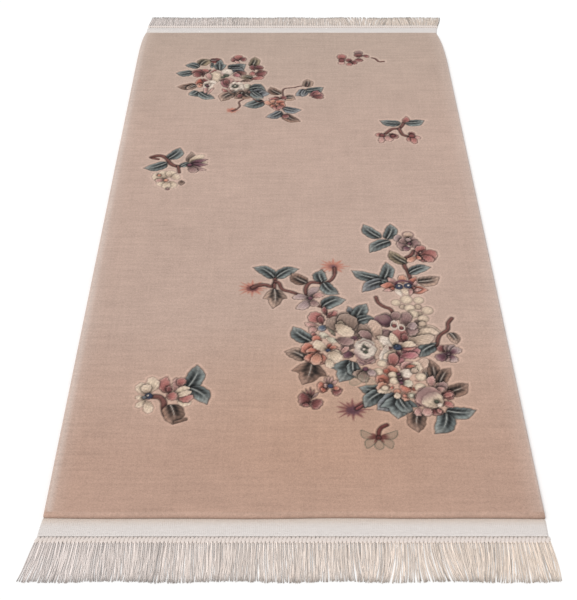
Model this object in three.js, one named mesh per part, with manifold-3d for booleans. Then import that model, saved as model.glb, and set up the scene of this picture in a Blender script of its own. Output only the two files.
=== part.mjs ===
// Carved wool pile rug with flat-woven cotton ends and a knotted fringe at both ends.
// Millimetres, +Z up. The origin is the middle of the pile field on the floor, +Y runs to the far end.

import * as THREE from "three";
import { mergeVertices } from "three/addons/utils/BufferGeometryUtils.js";
import Module from "manifold-3d";

const wasm = await Module();
wasm.setup();

// Driving dimensions
const PILE_WIDTH = 914;
const PILE_LENGTH = 1829;
const PILE_TOP = 16;
const CLOTH = 3;
const NEAR_WEAVE = 38;
const FAR_WEAVE = 52;
const PIECE_GAP = 0.3;

// The body's section
const COLUMNS = 12;
const SHOULDER = [
  { inset: 0, height: 0.55 },
  { inset: 0.15, height: 0.85 },
  { inset: 0.45, height: 1 },
];
const EDGE_WAVE = { height: 1.2, short: 61, long: 173 };

// Carving around each motif
const CARVE_DEPTH = 2.4;
const CARVE_INNER = 0.8;
const CARVE_OUTER = 3;
const CUT_MARGIN = 1;
const MITRE_LIMIT = 0.6;
const ROUND_SIDES = 6;

// Fringe
const LOCKS = 127;
const STRIP_WIDTH = 5;
const LOCK_LENGTH_WAVES = [
  { height: 2.5, rate: 1.7 },
  { height: 2, rate: 0.23 },
];
const LOCK_WANDER = [
  { height: 2.2, rate: 0.31, along: 2 },
  { height: 0.5, rate: 2.9, along: 0 },
];

const HALF_WIDTH = PILE_WIDTH / 2;
const HALF_LENGTH = PILE_LENGTH / 2;
const DEGREE = Math.PI / 180;

// A table of rows becomes a list of objects with the named columns.
function table(columns, rows) {
  const names = columns.split(" ");
  return rows.map((row) => Object.fromEntries(names.map((name, i) => [name, row[i]])));
}

// Motif places on the pile, all in millimetres. Rows that lie over others come first.

// Round berries and small round petals
const ROUNDS = table("x y radius", [
  [252, -318, 13],
  [260, -371, 13],
  [284, -382, 13],
  [300, -424, 13],
  [262, -545, 15],
  [256, -590, 14],
  [210, -609, 13],
  [218, -471, 11],
  [271, -88, 15],
]);

// Blossoms: radius to the petal tips, turn in degrees of the first petal
const BLOSSOMS = table("x y radius petals turn", [
  [278, -621, 42, 6, 10],
  [218, -472, 38, 5, 50],
  [218, -400, 38, 5, 70],
  [262, -126, 28, 5, 20],
  [300, -157, 30, 4, -50],
  [248, -271, 44, 7, 90],
  [150, -482, 40, 6, 0],
  [52, -482, 42, 5, 100],
  [105, -405, 32, 4, 30],
  [52, -390, 34, 4, 60],
  [36, -317, 30, 4, 70],
  [218, -565, 56, 9, 0],
  [327, -490, 25, 4, 45],
  [74, -590, 22, 4, 30],
  [32, -631, 24, 3, 60],
  [164, -733, 30, 5, 50],
  [-240, 603, 24, 6, 0],
  [-165, 598, 27, 6, 0],
  [-190, 665, 22, 5, 90],
  [-192, 618, 22, 3, 90],
  [-222, 655, 30, 5, 40],
  [-258, 628, 20, 4, 30],
  [-268, 676, 19, 3, 0],
  [-162, 752, 22, 3, 90],
  [-95, 680, 26, 4, 30],
  [-42, 508, 32, 5, 90],
  [62, 552, 24, 5, 20],
  [143, 754, 17, 4, 90],
  [168, 735, 17, 4, 20],
  [194, 762, 19, 4, 60],
  [253, 340, 26, 5, 60],
  [318, 337, 25, 6, 30],
  [-258, 206, 34, 6, 0],
  [-320, 145, 38, 6, 30],
  [-246, -600, 34, 5, 100],
  [-297, -616, 32, 4, 60],
]);

// Leaves run from base to tip; lobed ones have a side point on each edge.
const LEAVES = table("baseX baseY tipX tipY width lobed", [
  [206, -102, 178, -40, 33, false],
  [222, -106, 235, -47, 30, false],
  [228, -112, 181, -154, 35, false],
  [254, -200, 222, -150, 29, false],
  [264, -230, 310, -200, 28, false],
  [280, -262, 329, -243, 34, false],
  [192, -250, 133, -224, 32, false],
  [199, -255, 219, -193, 29, false],
  [208, -256, 153, -291, 32, false],
  [262, -500, 297, -456, 26, false],
  [335, -430, 345, -462, 16, false],
  [-42, -249, -87, -214, 34, false],
  [-40, -249, 6, -215, 33, false],
  [-41, -288, -43, -350, 34, true],
  [31, -281, -1, -235, 32, false],
  [74, -262, 66, -220, 30, false],
  [62, -264, 91, -309, 28, false],
  [62, -352, 110, -319, 36, false],
  [152, -402, 152, -331, 38, true],
  [22, -463, -1, -411, 36, false],
  [24, -503, -17, -478, 32, false],
  [38, -520, 22, -583, 40, true],
  [122, -514, 100, -577, 40, true],
  [170, -600, 136, -643, 34, true],
  [170, -608, 193, -652, 34, false],
  [212, -618, 202, -675, 36, true],
  [292, -580, 291, -511, 38, true],
  [302, -605, 355, -583, 34, false],
  [303, -655, 359, -662, 32, false],
  [305, -668, 281, -717, 32, false],
  [250, -655, 235, -706, 28, false],
  [-272, 697, -312, 724, 26, false],
  [-294, 677, -335, 657, 28, false],
  [-262, 714, -256, 760, 26, false],
  [-207, 684, -206, 748, 34, true],
  [-150, 690, -197, 720, 36, true],
  [-116, 713, -111, 765, 25, false],
  [-281, 604, -325, 588, 24, false],
  [-286, 578, -222, 522, 32, false],
  [-174, 560, -194, 520, 26, false],
  [-136, 580, -146, 526, 34, false],
  [-80, 572, -128, 602, 32, false],
  [-97, 528, -80, 588, 28, false],
  [-92, 524, -137, 488, 32, false],
  [-42, 544, -62, 591, 26, false],
  [-28, 545, 6, 522, 32, false],
  [-38, 470, -64, 428, 30, false],
  [-28, 472, 22, 472, 34, false],
  [-25, 456, 12, 405, 30, false],
  [35, 600, 46, 642, 30, false],
  [34, 582, 84, 588, 26, false],
  [27, 586, 20, 537, 30, false],
  [246, 752, 262, 728, 14, false],
  [292, 400, 244, 402, 32, false],
  [302, 400, 356, 412, 32, false],
  [-324, 236, -296, 281, 36, false],
  [-325, 213, -366, 181, 33, false],
  [-276, 226, -266, 262, 14, false],
  [-216, -588, -200, -529, 33, false],
  [-214, -590, -176, -630, 33, false],
  [-252, -640, -222, -684, 26, false],
]);

// Branches: width, then the points they pass
const BRANCHES = table("width points", [
  [10, [[282, -142], [257, -184], [258, -206], [267, -252]]],
  [8, [[183, -318], [190, -342], [212, -370]]],
  [8, [[345, -384], [332, -422], [312, -440], [303, -472]]],
  [9, [[-90, -282], [-80, -270], [-43, -270], [-43, -250]]],
  [9, [[-40, -262], [-24, -290], [6, -296], [15, -309]]],
  [10, [[30, -306], [33, -264], [60, -267]]],
  [9, [[38, -330], [64, -347], [69, -362]]],
  [7, [[-30, 545], [-27, 581], [4, 584], [32, 598]]],
  [8, [[306, 434], [298, 398], [284, 376], [252, 350]]],
  [8, [[284, 376], [290, 352], [308, 336]]],
  [9, [[-362, 228], [-350, 246], [-328, 238], [-318, 210], [-289, 180]]],
  [10, [[-302, -615], [-272, -618], [-260, -658], [-244, -682]]],
]);

// A closed surface through a grid of points. Each row is a closed ring; the rows either close on
// themselves, as on a tyre, or end in a flat cap zipped between the ring's two halves.
function ringSurface(rings, closed) {
  const count = rings[0].length;
  const positions = rings.flat(2);
  const index = [];
  const spans = closed ? rings.length : rings.length - 1;
  for (let r = 0; r < spans; r++) {
    const here = r * count;
    const next = ((r + 1) % rings.length) * count;
    for (let i = 0; i < count; i++) {
      const j = (i + 1) % count;
      index.push(here + i, here + j, next + j, here + i, next + j, next + i);
    }
  }
  if (!closed) {
    zipCap(index, 0, count, false);
    zipCap(index, (rings.length - 1) * count, count, true);
  }
  const surface = new THREE.BufferGeometry();
  surface.setAttribute("position", new THREE.Float32BufferAttribute(positions, 3));
  surface.setIndex(index);
  return surface;
}

// Triangles between the first half of a ring and the second half run backwards
function zipCap(index, start, count, flip) {
  let low = 0;
  let high = count - 1;
  while (high - low > 1) {
    const corners = [start + low, start + high, start + low + 1];
    index.push(...(flip ? corners.reverse() : corners));
    low += 1;
    if (high - low > 1) {
      const others = [start + low, start + high, start + high - 1];
      index.push(...(flip ? others.reverse() : others));
      high -= 1;
    }
  }
}

// A closed geometry as a solid, turned to face outwards
function solidOf(geometry) {
  const bare = geometry.clone();
  bare.deleteAttribute("normal");
  bare.deleteAttribute("uv");
  const merged = mergeVertices(bare, 1e-3);
  const triVerts = new Uint32Array(merged.index.array);
  const vertProperties = merged.attributes.position.array;
  const solid = new wasm.Manifold(new wasm.Mesh({ numProp: 3, vertProperties, triVerts }));
  if (solid.volume() > 0) return solid;
  for (let i = 0; i < triVerts.length; i += 3) {
    [triVerts[i + 1], triVerts[i + 2]] = [triVerts[i + 2], triVerts[i + 1]];
  }
  return new wasm.Manifold(new wasm.Mesh({ numProp: 3, vertProperties, triVerts }));
}

// A solid back as a geometry with flat faces
function geometryOf(solid) {
  const mesh = solid.getMesh();
  const positions = new Float32Array(mesh.numVert * 3);
  for (let i = 0; i < mesh.numVert; i++) {
    positions.set(mesh.vertProperties.subarray(i * mesh.numProp, i * mesh.numProp + 3), i * 3);
  }
  const geometry = new THREE.BufferGeometry();
  geometry.setAttribute("position", new THREE.BufferAttribute(positions, 3));
  geometry.setIndex(new THREE.BufferAttribute(mesh.triVerts, 1));
  const flat = geometry.toNonIndexed();
  flat.computeVertexNormals();
  return flat;
}

// Body

// Stations from the near end to the far end. The far corners of the pile are drawn in.
const FAR_EDGE = HALF_LENGTH + FAR_WEAVE;
const [FOOT, BEND, CROWN] = SHOULDER.map((s) => ({ inset: s.inset * PILE_TOP, top: s.height * PILE_TOP }));
const STATIONS = table("y thick left right wavy", [
  [-HALF_LENGTH - NEAR_WEAVE, CLOTH, -463, 457.5, 0],
  [-HALF_LENGTH - 0.4 * NEAR_WEAVE, CLOTH, -461, 458, 0.4],
  [-HALF_LENGTH - 0.5, CLOTH, -459, 458, 1],
  [-HALF_LENGTH, FOOT.top, -HALF_WIDTH, HALF_WIDTH, 1],
  [-HALF_LENGTH + BEND.inset, BEND.top, -HALF_WIDTH, HALF_WIDTH, 1],
  [-HALF_LENGTH + CROWN.inset, PILE_TOP, -HALF_WIDTH, HALF_WIDTH, 0.8],
  [-HALF_LENGTH + 40, PILE_TOP, -HALF_WIDTH, HALF_WIDTH, 0],
  [742, PILE_TOP, -HALF_WIDTH, HALF_WIDTH, 0],
  [800, PILE_TOP, -456.5, 455.5, 0],
  [850, PILE_TOP, -455, 452.5, 0],
  [886, PILE_TOP, -452, 448, 0],
  [HALF_LENGTH - CROWN.inset, PILE_TOP, -448.5, 443.5, 0.4],
  [HALF_LENGTH - BEND.inset, BEND.top, -447.5, 442.5, 0.5],
  [HALF_LENGTH, FOOT.top, -446.5, 442, 0.5],
  [HALF_LENGTH + 0.5, CLOTH, -446, 443, 0.5],
  [HALF_LENGTH + 0.25 * FAR_WEAVE, CLOTH, -446, 444, 0.3],
  [HALF_LENGTH + 0.5 * FAR_WEAVE, CLOTH, -446, 446, 0],
  [HALF_LENGTH + 0.75 * FAR_WEAVE, CLOTH, -445.5, 448, 0],
  [FAR_EDGE, CLOTH, -445, 450, 0],
]);

// Humps where the far flat-woven end stands off the floor
const HUMPS = table("x reach height", [
  [-430, 70, 6],
  [-230, 130, 4],
  [40, 110, 3],
  [300, 140, 2],
]);

// Height of the far end's underside off the floor: each hump is a bell across, half a wave along.
function lift(x, y) {
  const along = (y - HALF_LENGTH - 0.5) / (FAR_WEAVE - 0.5);
  if (along <= 0 || along >= 1) return 0;
  const across = HUMPS.reduce((sum, h) => sum + h.height * Math.exp(-(((x - h.x) / h.reach) ** 2)), 0);
  return across * Math.sin(Math.PI * along) ** 2;
}

// One closed section ring across the rug: underside left to right, then back over the top
function bodyRing(station) {
  const { y, thick, left, right, wavy } = station;
  const point = (x, height) => {
    const wave = wavy * EDGE_WAVE.height * Math.sin(x / EDGE_WAVE.short) * Math.cos(x / EDGE_WAVE.long);
    return [x, y + wave, lift(x, y) + height];
  };
  const ring = [];
  for (let i = 0; i <= COLUMNS; i++) ring.push(point(left + ((right - left) * i) / COLUMNS, 0));
  for (const s of SHOULDER) ring.push(point(right - s.inset * thick, s.height * thick));
  for (let i = COLUMNS - 1; i >= 1; i--) {
    ring.push(point(left + ((right - left) * i) / COLUMNS, thick));
  }
  for (const s of [...SHOULDER].reverse()) ring.push(point(left + s.inset * thick, s.height * thick));
  return ring;
}

// Motif outlines, each a list of plan points

function polar(x, y, radius, angle) {
  return new THREE.Vector2(x + radius * Math.cos(angle), y + radius * Math.sin(angle));
}

function roundOutline({ x, y, radius }) {
  const pitch = (2 * Math.PI) / ROUND_SIDES;
  return Array.from({ length: ROUND_SIDES }, (_, i) => polar(x, y, radius, i * pitch));
}

// A petal's points, by share of the petal's pitch and of the radius: its tip and the notch after it
const PETAL = [[0, 1.04], [0.5, 0.7]];

function blossomOutline({ x, y, radius, petals, turn }) {
  const pitch = (2 * Math.PI) / petals;
  const outline = [];
  for (let i = 0; i < petals; i++) {
    for (const [side, reach] of PETAL) {
      outline.push(polar(x, y, radius * reach, turn * DEGREE + (i + side) * pitch));
    }
  }
  return outline;
}

// Half outlines as shares of the length and of the half width; the other edge mirrors it
const PLAIN_EDGE = [[0.24, 0.88], [0.68, 0.86]];
const LOBED_EDGE = [[0.12, 0.62], [0.42, 1.35], [0.58, 0.72]];

function leafOutline({ baseX, baseY, tipX, tipY, width, lobed }) {
  const base = new THREE.Vector2(baseX, baseY);
  const along = new THREE.Vector2(tipX, tipY).sub(base);
  const across = new THREE.Vector2(-along.y, along.x).normalize().multiplyScalar(width / 2);
  const edge = lobed ? LOBED_EDGE : PLAIN_EDGE;
  const at = (share, side) => base.clone().addScaledVector(along, share).addScaledVector(across, side);
  const rightEdge = edge.map(([share, side]) => at(share, -side));
  const leftEdge = edge.map(([share, side]) => at(share, side)).reverse();
  return [at(0, 0), ...rightEdge, at(1, 0), ...leftEdge];
}

// The two sides of a branch's centre line, mitred at each bend
function branchOutline({ width, points }) {
  const line = points.map(([x, y]) => new THREE.Vector2(x, y));
  const side = (i) => {
    const before = line[Math.max(i - 1, 0)];
    const after = line[Math.min(i + 1, line.length - 1)];
    const along = after.clone().sub(before).normalize();
    return new THREE.Vector2(-along.y, along.x).multiplyScalar(width / 2);
  };
  const right = line.map((p, i) => p.clone().sub(side(i)));
  const left = line.map((p, i) => p.clone().add(side(i))).reverse();
  return [...right, ...left];
}

// The outline moved outwards by an amount, with long mitres held back
function grown(outline, amount) {
  return outline.map((p, i) => {
    const before = outline.at(i - 1);
    const after = outline[(i + 1) % outline.length];
    const a = p.clone().sub(before).normalize();
    const b = after.clone().sub(p).normalize();
    const normal = new THREE.Vector2(a.y + b.y, -a.x - b.x).normalize();
    const mitre = Math.max(MITRE_LIMIT, normal.x * a.y - normal.y * a.x);
    return p.clone().addScaledVector(normal, amount / mitre);
  });
}

// The V-shaped cut around an outline, as a closed ring with a triangular section
function carvingTool(outline) {
  const inner = grown(outline, -CARVE_INNER);
  const outer = grown(outline, CARVE_OUTER);
  const slope = CUT_MARGIN / CARVE_DEPTH;
  const top = PILE_TOP + CUT_MARGIN;
  const rings = outline.map((p, i) => {
    const inside = p.clone().lerp(inner[i], 1 + slope);
    const outside = p.clone().lerp(outer[i], 1 + slope);
    return [
      [inside.x, inside.y, top],
      [p.x, p.y, PILE_TOP - CARVE_DEPTH],
      [outside.x, outside.y, top],
    ];
  });
  return solidOf(ringSurface(rings, true));
}

// The upright block over an outline, which shields it from the cuts of motifs below it
function shieldOver(outline) {
  const depth = CARVE_DEPTH + 3 * CUT_MARGIN;
  const block = new THREE.ExtrudeGeometry(new THREE.Shape(outline), { depth, bevelEnabled: false });
  return solidOf(block.translate(0, 0, PILE_TOP - CARVE_DEPTH - CUT_MARGIN));
}

function carved(solid) {
  const outlines = [
    ...ROUNDS.map(roundOutline),
    ...BLOSSOMS.map(blossomOutline),
    ...LEAVES.map(leafOutline),
    ...BRANCHES.map(branchOutline),
  ];
  let shields = null;
  let result = solid;
  for (const outline of outlines) {
    if (THREE.ShapeUtils.isClockWise(outline)) outline.reverse();
    const tool = carvingTool(outline);
    const shield = shieldOver(outline);
    result = result.subtract(shields ? tool.subtract(shields) : tool);
    shields = shields ? shields.add(shield) : shield;
  }
  return result;
}

// Fringe

// A lock's section is a triangle with its base on the floor. Columns: share of the free length from
// the strip, width and height of the section.
const LOCK_SECTIONS = table("share width height", [
  [0, 4.6, 2.2],
  [0.05, 6.2, 5.2],
  [0.16, 3.4, 2.6],
  [0.55, 4.6, 2.6],
  [1, 2.4, 1.6],
]);

// Ends: the woven edge, the way the locks point, the roots' spread, the free length and how far the
// tips lean past their roots at the left and the right side
const ENDS = [
  {
    name: "fringe_near",
    edge: -HALF_LENGTH - NEAR_WEAVE,
    way: -1,
    left: -463,
    right: 457.5,
    length: 90,
    leanLeft: -20,
    leanRight: 5,
  },
  {
    name: "fringe_far",
    edge: FAR_EDGE,
    way: 1,
    left: -445,
    right: 450,
    length: 64,
    leanLeft: 6,
    leanRight: 13,
  },
];

// The triangular ring of one section of a lock
function lockRing(x, y, { width, height }) {
  return [
    [x - width / 2, y, 0],
    [x + width / 2, y, 0],
    [x, y, height],
  ];
}

// One knotted lock: it leaves the strip, thickens at its knot, and wanders to its tip
function lock(end, i) {
  const across = i / (LOCKS - 1);
  const inset = LOCK_SECTIONS[1].width / 2;
  const x = end.left + inset + (end.right - end.left - 2 * inset) * across;
  const lean = end.leanLeft * (1 - across) ** 2 + end.leanRight * across ** 2;
  const length = LOCK_LENGTH_WAVES.reduce((sum, w) => sum + w.height * Math.sin(w.rate * i), end.length);
  const strip = end.edge + end.way * (PIECE_GAP + STRIP_WIDTH);
  const rings = LOCK_SECTIONS.map((section) => {
    const s = section.share;
    const start = x + lean * s * s;
    const wandered = LOCK_WANDER.reduce(
      (sum, w) => sum + w.height * s * Math.sin(w.rate * i + w.along * s),
      start,
    );
    return lockRing(wandered, strip + end.way * length * s, section);
  });
  return solidOf(ringSurface(rings, false));
}

// The narrow strip that holds the roots, with all the locks of one end
function fringe(end) {
  const bar = [PIECE_GAP, PIECE_GAP + STRIP_WIDTH].map((reach) => {
    const y = end.edge + end.way * reach;
    return [
      [end.left, y, 0],
      [end.right, y, 0],
      [end.right, y, CLOTH],
      [end.left, y, CLOTH],
    ];
  });
  const locks = Array.from({ length: LOCKS }, (_, i) => lock(end, i));
  return wasm.Manifold.union([solidOf(ringSurface(bar, false)), ...locks]);
}

// Finishes

const wool = new THREE.MeshStandardMaterial({ color: 0xc0a293, roughness: 0.95, metalness: 0 });
const cotton = new THREE.MeshStandardMaterial({ color: 0xe0d6cf, roughness: 0.9, metalness: 0 });

const rug = new THREE.Group();

function addPiece(name, solid, material) {
  const mesh = new THREE.Mesh(geometryOf(solid), material);
  mesh.name = name;
  rug.add(mesh);
}

addPiece("rug_body", carved(solidOf(ringSurface(STATIONS.map(bodyRing), false))), wool);
for (const end of ENDS) addPiece(end.name, fringe(end), cotton);

export default rug;
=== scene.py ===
"""A hand-knotted oriental rug laid flat, with carved flower sprays, flat-woven cotton ends and a knotted
fringe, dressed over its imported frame. Lengths in the tables are millimetres from the middle of the pile."""

import math

import bpy
import numpy as np
from bpy.props import FloatProperty, FloatVectorProperty, IntProperty, PointerProperty
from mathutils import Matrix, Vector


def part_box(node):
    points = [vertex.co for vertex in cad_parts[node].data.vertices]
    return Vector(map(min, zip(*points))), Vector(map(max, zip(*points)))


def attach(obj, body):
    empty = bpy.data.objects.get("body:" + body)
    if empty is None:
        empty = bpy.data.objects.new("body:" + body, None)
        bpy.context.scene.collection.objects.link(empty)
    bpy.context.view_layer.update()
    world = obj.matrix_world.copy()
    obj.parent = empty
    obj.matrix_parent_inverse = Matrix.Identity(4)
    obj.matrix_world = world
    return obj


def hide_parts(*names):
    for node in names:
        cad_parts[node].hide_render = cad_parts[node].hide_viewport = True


bl_info = {
    "name": "Carved oriental rug",
    "version": (1, 0, 0),
    "blender": (4, 5, 0),
    "location": "3D View > Sidebar > Rug",
    "description": "Wool rug with carved flower sprays, flat-woven ends and a knotted fringe",
    "category": "Add Mesh",
}

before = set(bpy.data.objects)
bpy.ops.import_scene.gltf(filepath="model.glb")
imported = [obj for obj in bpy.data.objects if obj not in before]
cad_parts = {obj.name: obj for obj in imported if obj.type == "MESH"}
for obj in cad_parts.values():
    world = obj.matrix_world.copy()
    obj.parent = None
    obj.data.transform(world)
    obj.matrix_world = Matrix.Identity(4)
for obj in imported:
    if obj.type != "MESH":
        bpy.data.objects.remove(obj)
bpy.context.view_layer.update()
BODY_LOW, BODY_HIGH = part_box("rug_body")

MM = 0.001
TURN = 2 * math.pi
DEGREE = math.pi / 180
WHITE = 255


def table(columns, rows):
    """Named columns of a text table as a dictionary of number arrays."""
    numbers = np.array([[float(word) for word in row.split()] for row in rows.strip().splitlines()])
    return dict(zip(columns.split(), numbers.T))


def smooth(low, high, value):
    """0 below low, 1 above high and a cubic S between; low may be above high."""
    t = np.clip((value - low) / (high - low), 0, 1)
    return t * t * (3 - 2 * t)


def bell(value, reach):
    """A bell curve, 1 at zero and small beyond reach."""
    return np.exp(-((value / reach) ** 2))


def blend(rgb, other, share):
    """A share of the way from one colour to another, point by point."""
    return rgb + share[:, None] * (other - rgb)


def linear(srgb):
    """sRGB shares made linear: a straight part near black, a power of 2.4 above it."""
    return np.where(srgb <= 0.04045, srgb / 12.92, ((srgb + 0.055) / 1.055) ** 2.4)


def gamma(linear_rgb):
    """Linear shares made sRGB, the way back from linear()."""
    safe = np.maximum(linear_rgb, 0)
    return np.where(safe <= 0.0031308, safe * 12.92, 1.055 * safe ** (1 / 2.4) - 0.055)


def dyed(red, green, blue):
    """A dye given as 0 to 255 in sRGB, as the linear colour that Blender keeps."""
    return tuple(float(c) for c in linear(np.array([red, green, blue]) / WHITE))


def shown(dye):
    """A linear colour as 0 to 255 in sRGB, the way back from dyed()."""
    return gamma(np.array(dye)) * WHITE


# Settings that a user would change


class RugSizes(bpy.types.PropertyGroup):
    pile_width: FloatProperty(
        name="Pile width", description="Width of the pile field as cut", default=0.914, unit="LENGTH")
    pile_length: FloatProperty(
        name="Pile length", description="Length of the pile field", default=1.829, unit="LENGTH")
    pile_top: FloatProperty(
        name="Pile height", description="Top of the pile above the floor", default=BODY_HIGH.z, unit="LENGTH")
    cloth: FloatProperty(
        name="Foundation", description="Thickness of the cotton foundation", default=0.003, unit="LENGTH")
    shoulder: FloatProperty(
        name="Shoulder", description="Rounding of the pile's upper edge", default=0.0072, unit="LENGTH")
    carve_depth: FloatProperty(
        name="Carving depth", description="Depth of the cut round each motif", default=0.0024, unit="LENGTH")
    carve_reach: FloatProperty(
        name="Carving reach", description="Half width of a motif's cut", default=0.0023, unit="LENGTH")
    swell: FloatProperty(
        name="Swell", description="Rise of a motif's middle over its rim", default=0.0009, unit="LENGTH")
    columns: IntProperty(name="Columns", description="Pile cells across the rug", default=72)
    rows: IntProperty(name="Rows", description="Pile cells along the rug", default=144)
    split: IntProperty(
        name="Split", description="Parts of a cell's side near motifs, an even number", default=6)


class RugDyes(bpy.types.PropertyGroup):
    near_field: FloatVectorProperty(
        name="Near field", description="Wool at the near end", subtype="COLOR", default=dyed(190, 157, 140))
    mid_field: FloatVectorProperty(
        name="Middle field", description="Wool in the middle", subtype="COLOR", default=dyed(195, 168, 154))
    far_field: FloatVectorProperty(
        name="Far field", description="Wool at the far end", subtype="COLOR", default=dyed(188, 166, 152))
    # Painted sheen: paler wool that stands for the sheen of the pile seen from the side
    rim: FloatVectorProperty(
        name="Rim", description="Wool seen from the side", subtype="COLOR", default=dyed(220, 204, 195))
    cotton: FloatVectorProperty(
        name="Cotton", description="Flat-woven ends", subtype="COLOR", default=dyed(226, 219, 215))
    yarn: FloatVectorProperty(
        name="Fringe yarn", description="Knotted warp ends", subtype="COLOR", default=dyed(243, 229, 219))


class FringeSizes(bpy.types.PropertyGroup):
    locks: IntProperty(name="Locks", description="Knotted locks at each end", default=127)
    yarns: IntProperty(name="Yarns", description="Yarns in a lock", default=6)
    yarn_radius: FloatProperty(
        name="Yarn radius", description="Half thickness of one yarn", default=0.0008, unit="LENGTH")


class StageSettings(bpy.types.PropertyGroup):
    floor_size: FloatProperty(name="Floor", description="Side of the floor", default=40, unit="LENGTH")
    eye_height: FloatProperty(
        name="Eye height", description="Camera above the floor", default=1.637, unit="LENGTH")
    eye_back: FloatProperty(
        name="Eye distance", description="Camera behind the rug's middle", default=2.1656, unit="LENGTH")
    eye_side: FloatProperty(
        name="Eye offset", description="Camera right of the rug's middle", default=-0.0104, unit="LENGTH")
    eye_tilt: FloatProperty(
        name="Tilt", description="Downward tilt of the camera", default=41.372 * DEGREE, subtype="ANGLE")
    lens: FloatProperty(name="Lens", description="Focal length in millimetres", default=66.42)
    sky: FloatProperty(name="Sky", description="Strength of the white surround", default=0.62)
    key: FloatProperty(name="Key light", description="Strength of the soft key light", default=1.76)
    key_spread: FloatProperty(
        name="Key spread", description="Angle that the key light fills", default=25 * DEGREE, subtype="ANGLE")
    key_height: FloatProperty(
        name="Key height", description="Key light above the horizon", default=55 * DEGREE, subtype="ANGLE")
    key_side: FloatProperty(
        name="Key side", description="Key light left of the camera", default=35 * DEGREE, subtype="ANGLE")


# Plan of the rug

PILE_EDGES = table("y left right", """
-914.5 -457 457
742 -457 457
800 -456.5 455.5
850 -455 452.5
886 -452 448
907.3 -448.5 443.5
914.5 -446.5 442
""")

CLOTH_EDGES = table("y left right", """
-952.5 -463 457.5
-929.7 -461 458
-915 -459 458
-908 -456 456
742 -456 456
800 -455.5 454.5
850 -454 451.5
886 -451 447
908 -447 442.5
915 -446 443
927.5 -446 444
940.5 -446 446
953.5 -445.5 448
966.5 -445 450
""")

HUMPS = table("x reach height", """
-430 70 6
-230 130 4
40 110 3
300 140 2
""")
HUMP_START = 0.5

EDGE_WAVE = {"height": 1.2, "short": 61, "long": 173}
WAVE_SHARE = table("y share", """
-952.5 0
-929.7 0.4
-914.5 1
-907.3 0.8
-874.5 0
874.5 0
907.3 0.4
914.5 0.5
927.5 0.3
940.5 0
""")


def woven_edge_wave(x, y):
    """How far the pile's end line wavers along the rug: a sine times a cosine of x, less off the ends."""
    share = np.interp(y, WAVE_SHARE["y"], WAVE_SHARE["share"])
    return share * EDGE_WAVE["height"] * np.sin(x / EDGE_WAVE["short"]) * np.cos(x / EDGE_WAVE["long"])


def lift(x, y, half_length, far_edge):
    """Height of the far flat-woven end off the floor: bells across the rug times a squared sine along it."""
    start = half_length + HUMP_START
    along = np.clip((y - start) / (far_edge - start), 0, 1)
    humps = zip(HUMPS["x"], HUMPS["reach"], HUMPS["height"])
    bells = [height * bell(x - middle, reach) for middle, reach, height in humps]
    return sum(bells) * np.sin(math.pi * along) ** 2


def place(s, t, inset, edges, near, far):
    """Plan point at shares s across and t along a cloth whose sides follow edges, drawn in by inset."""
    y = near + inset + (far - near - 2 * inset) * t
    left = np.interp(y, edges["y"], edges["left"]) + inset
    right = np.interp(y, edges["y"], edges["right"]) - inset
    x = left + (right - left) * s
    return x, y + woven_edge_wave(x, y)


# Motif rows: kind, dye, then numbers.
# leaf, lobed, petal, spike, fade, sepal: x and y of the root, x and y of the tip, width, and its bend left
# ball, burst: x, y, radius. rose, ring: x, y, half width, half length, and for a ring its line's width
# branch, stroke: width, then x and y of each point passed. Later rows lie over earlier ones.

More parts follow.
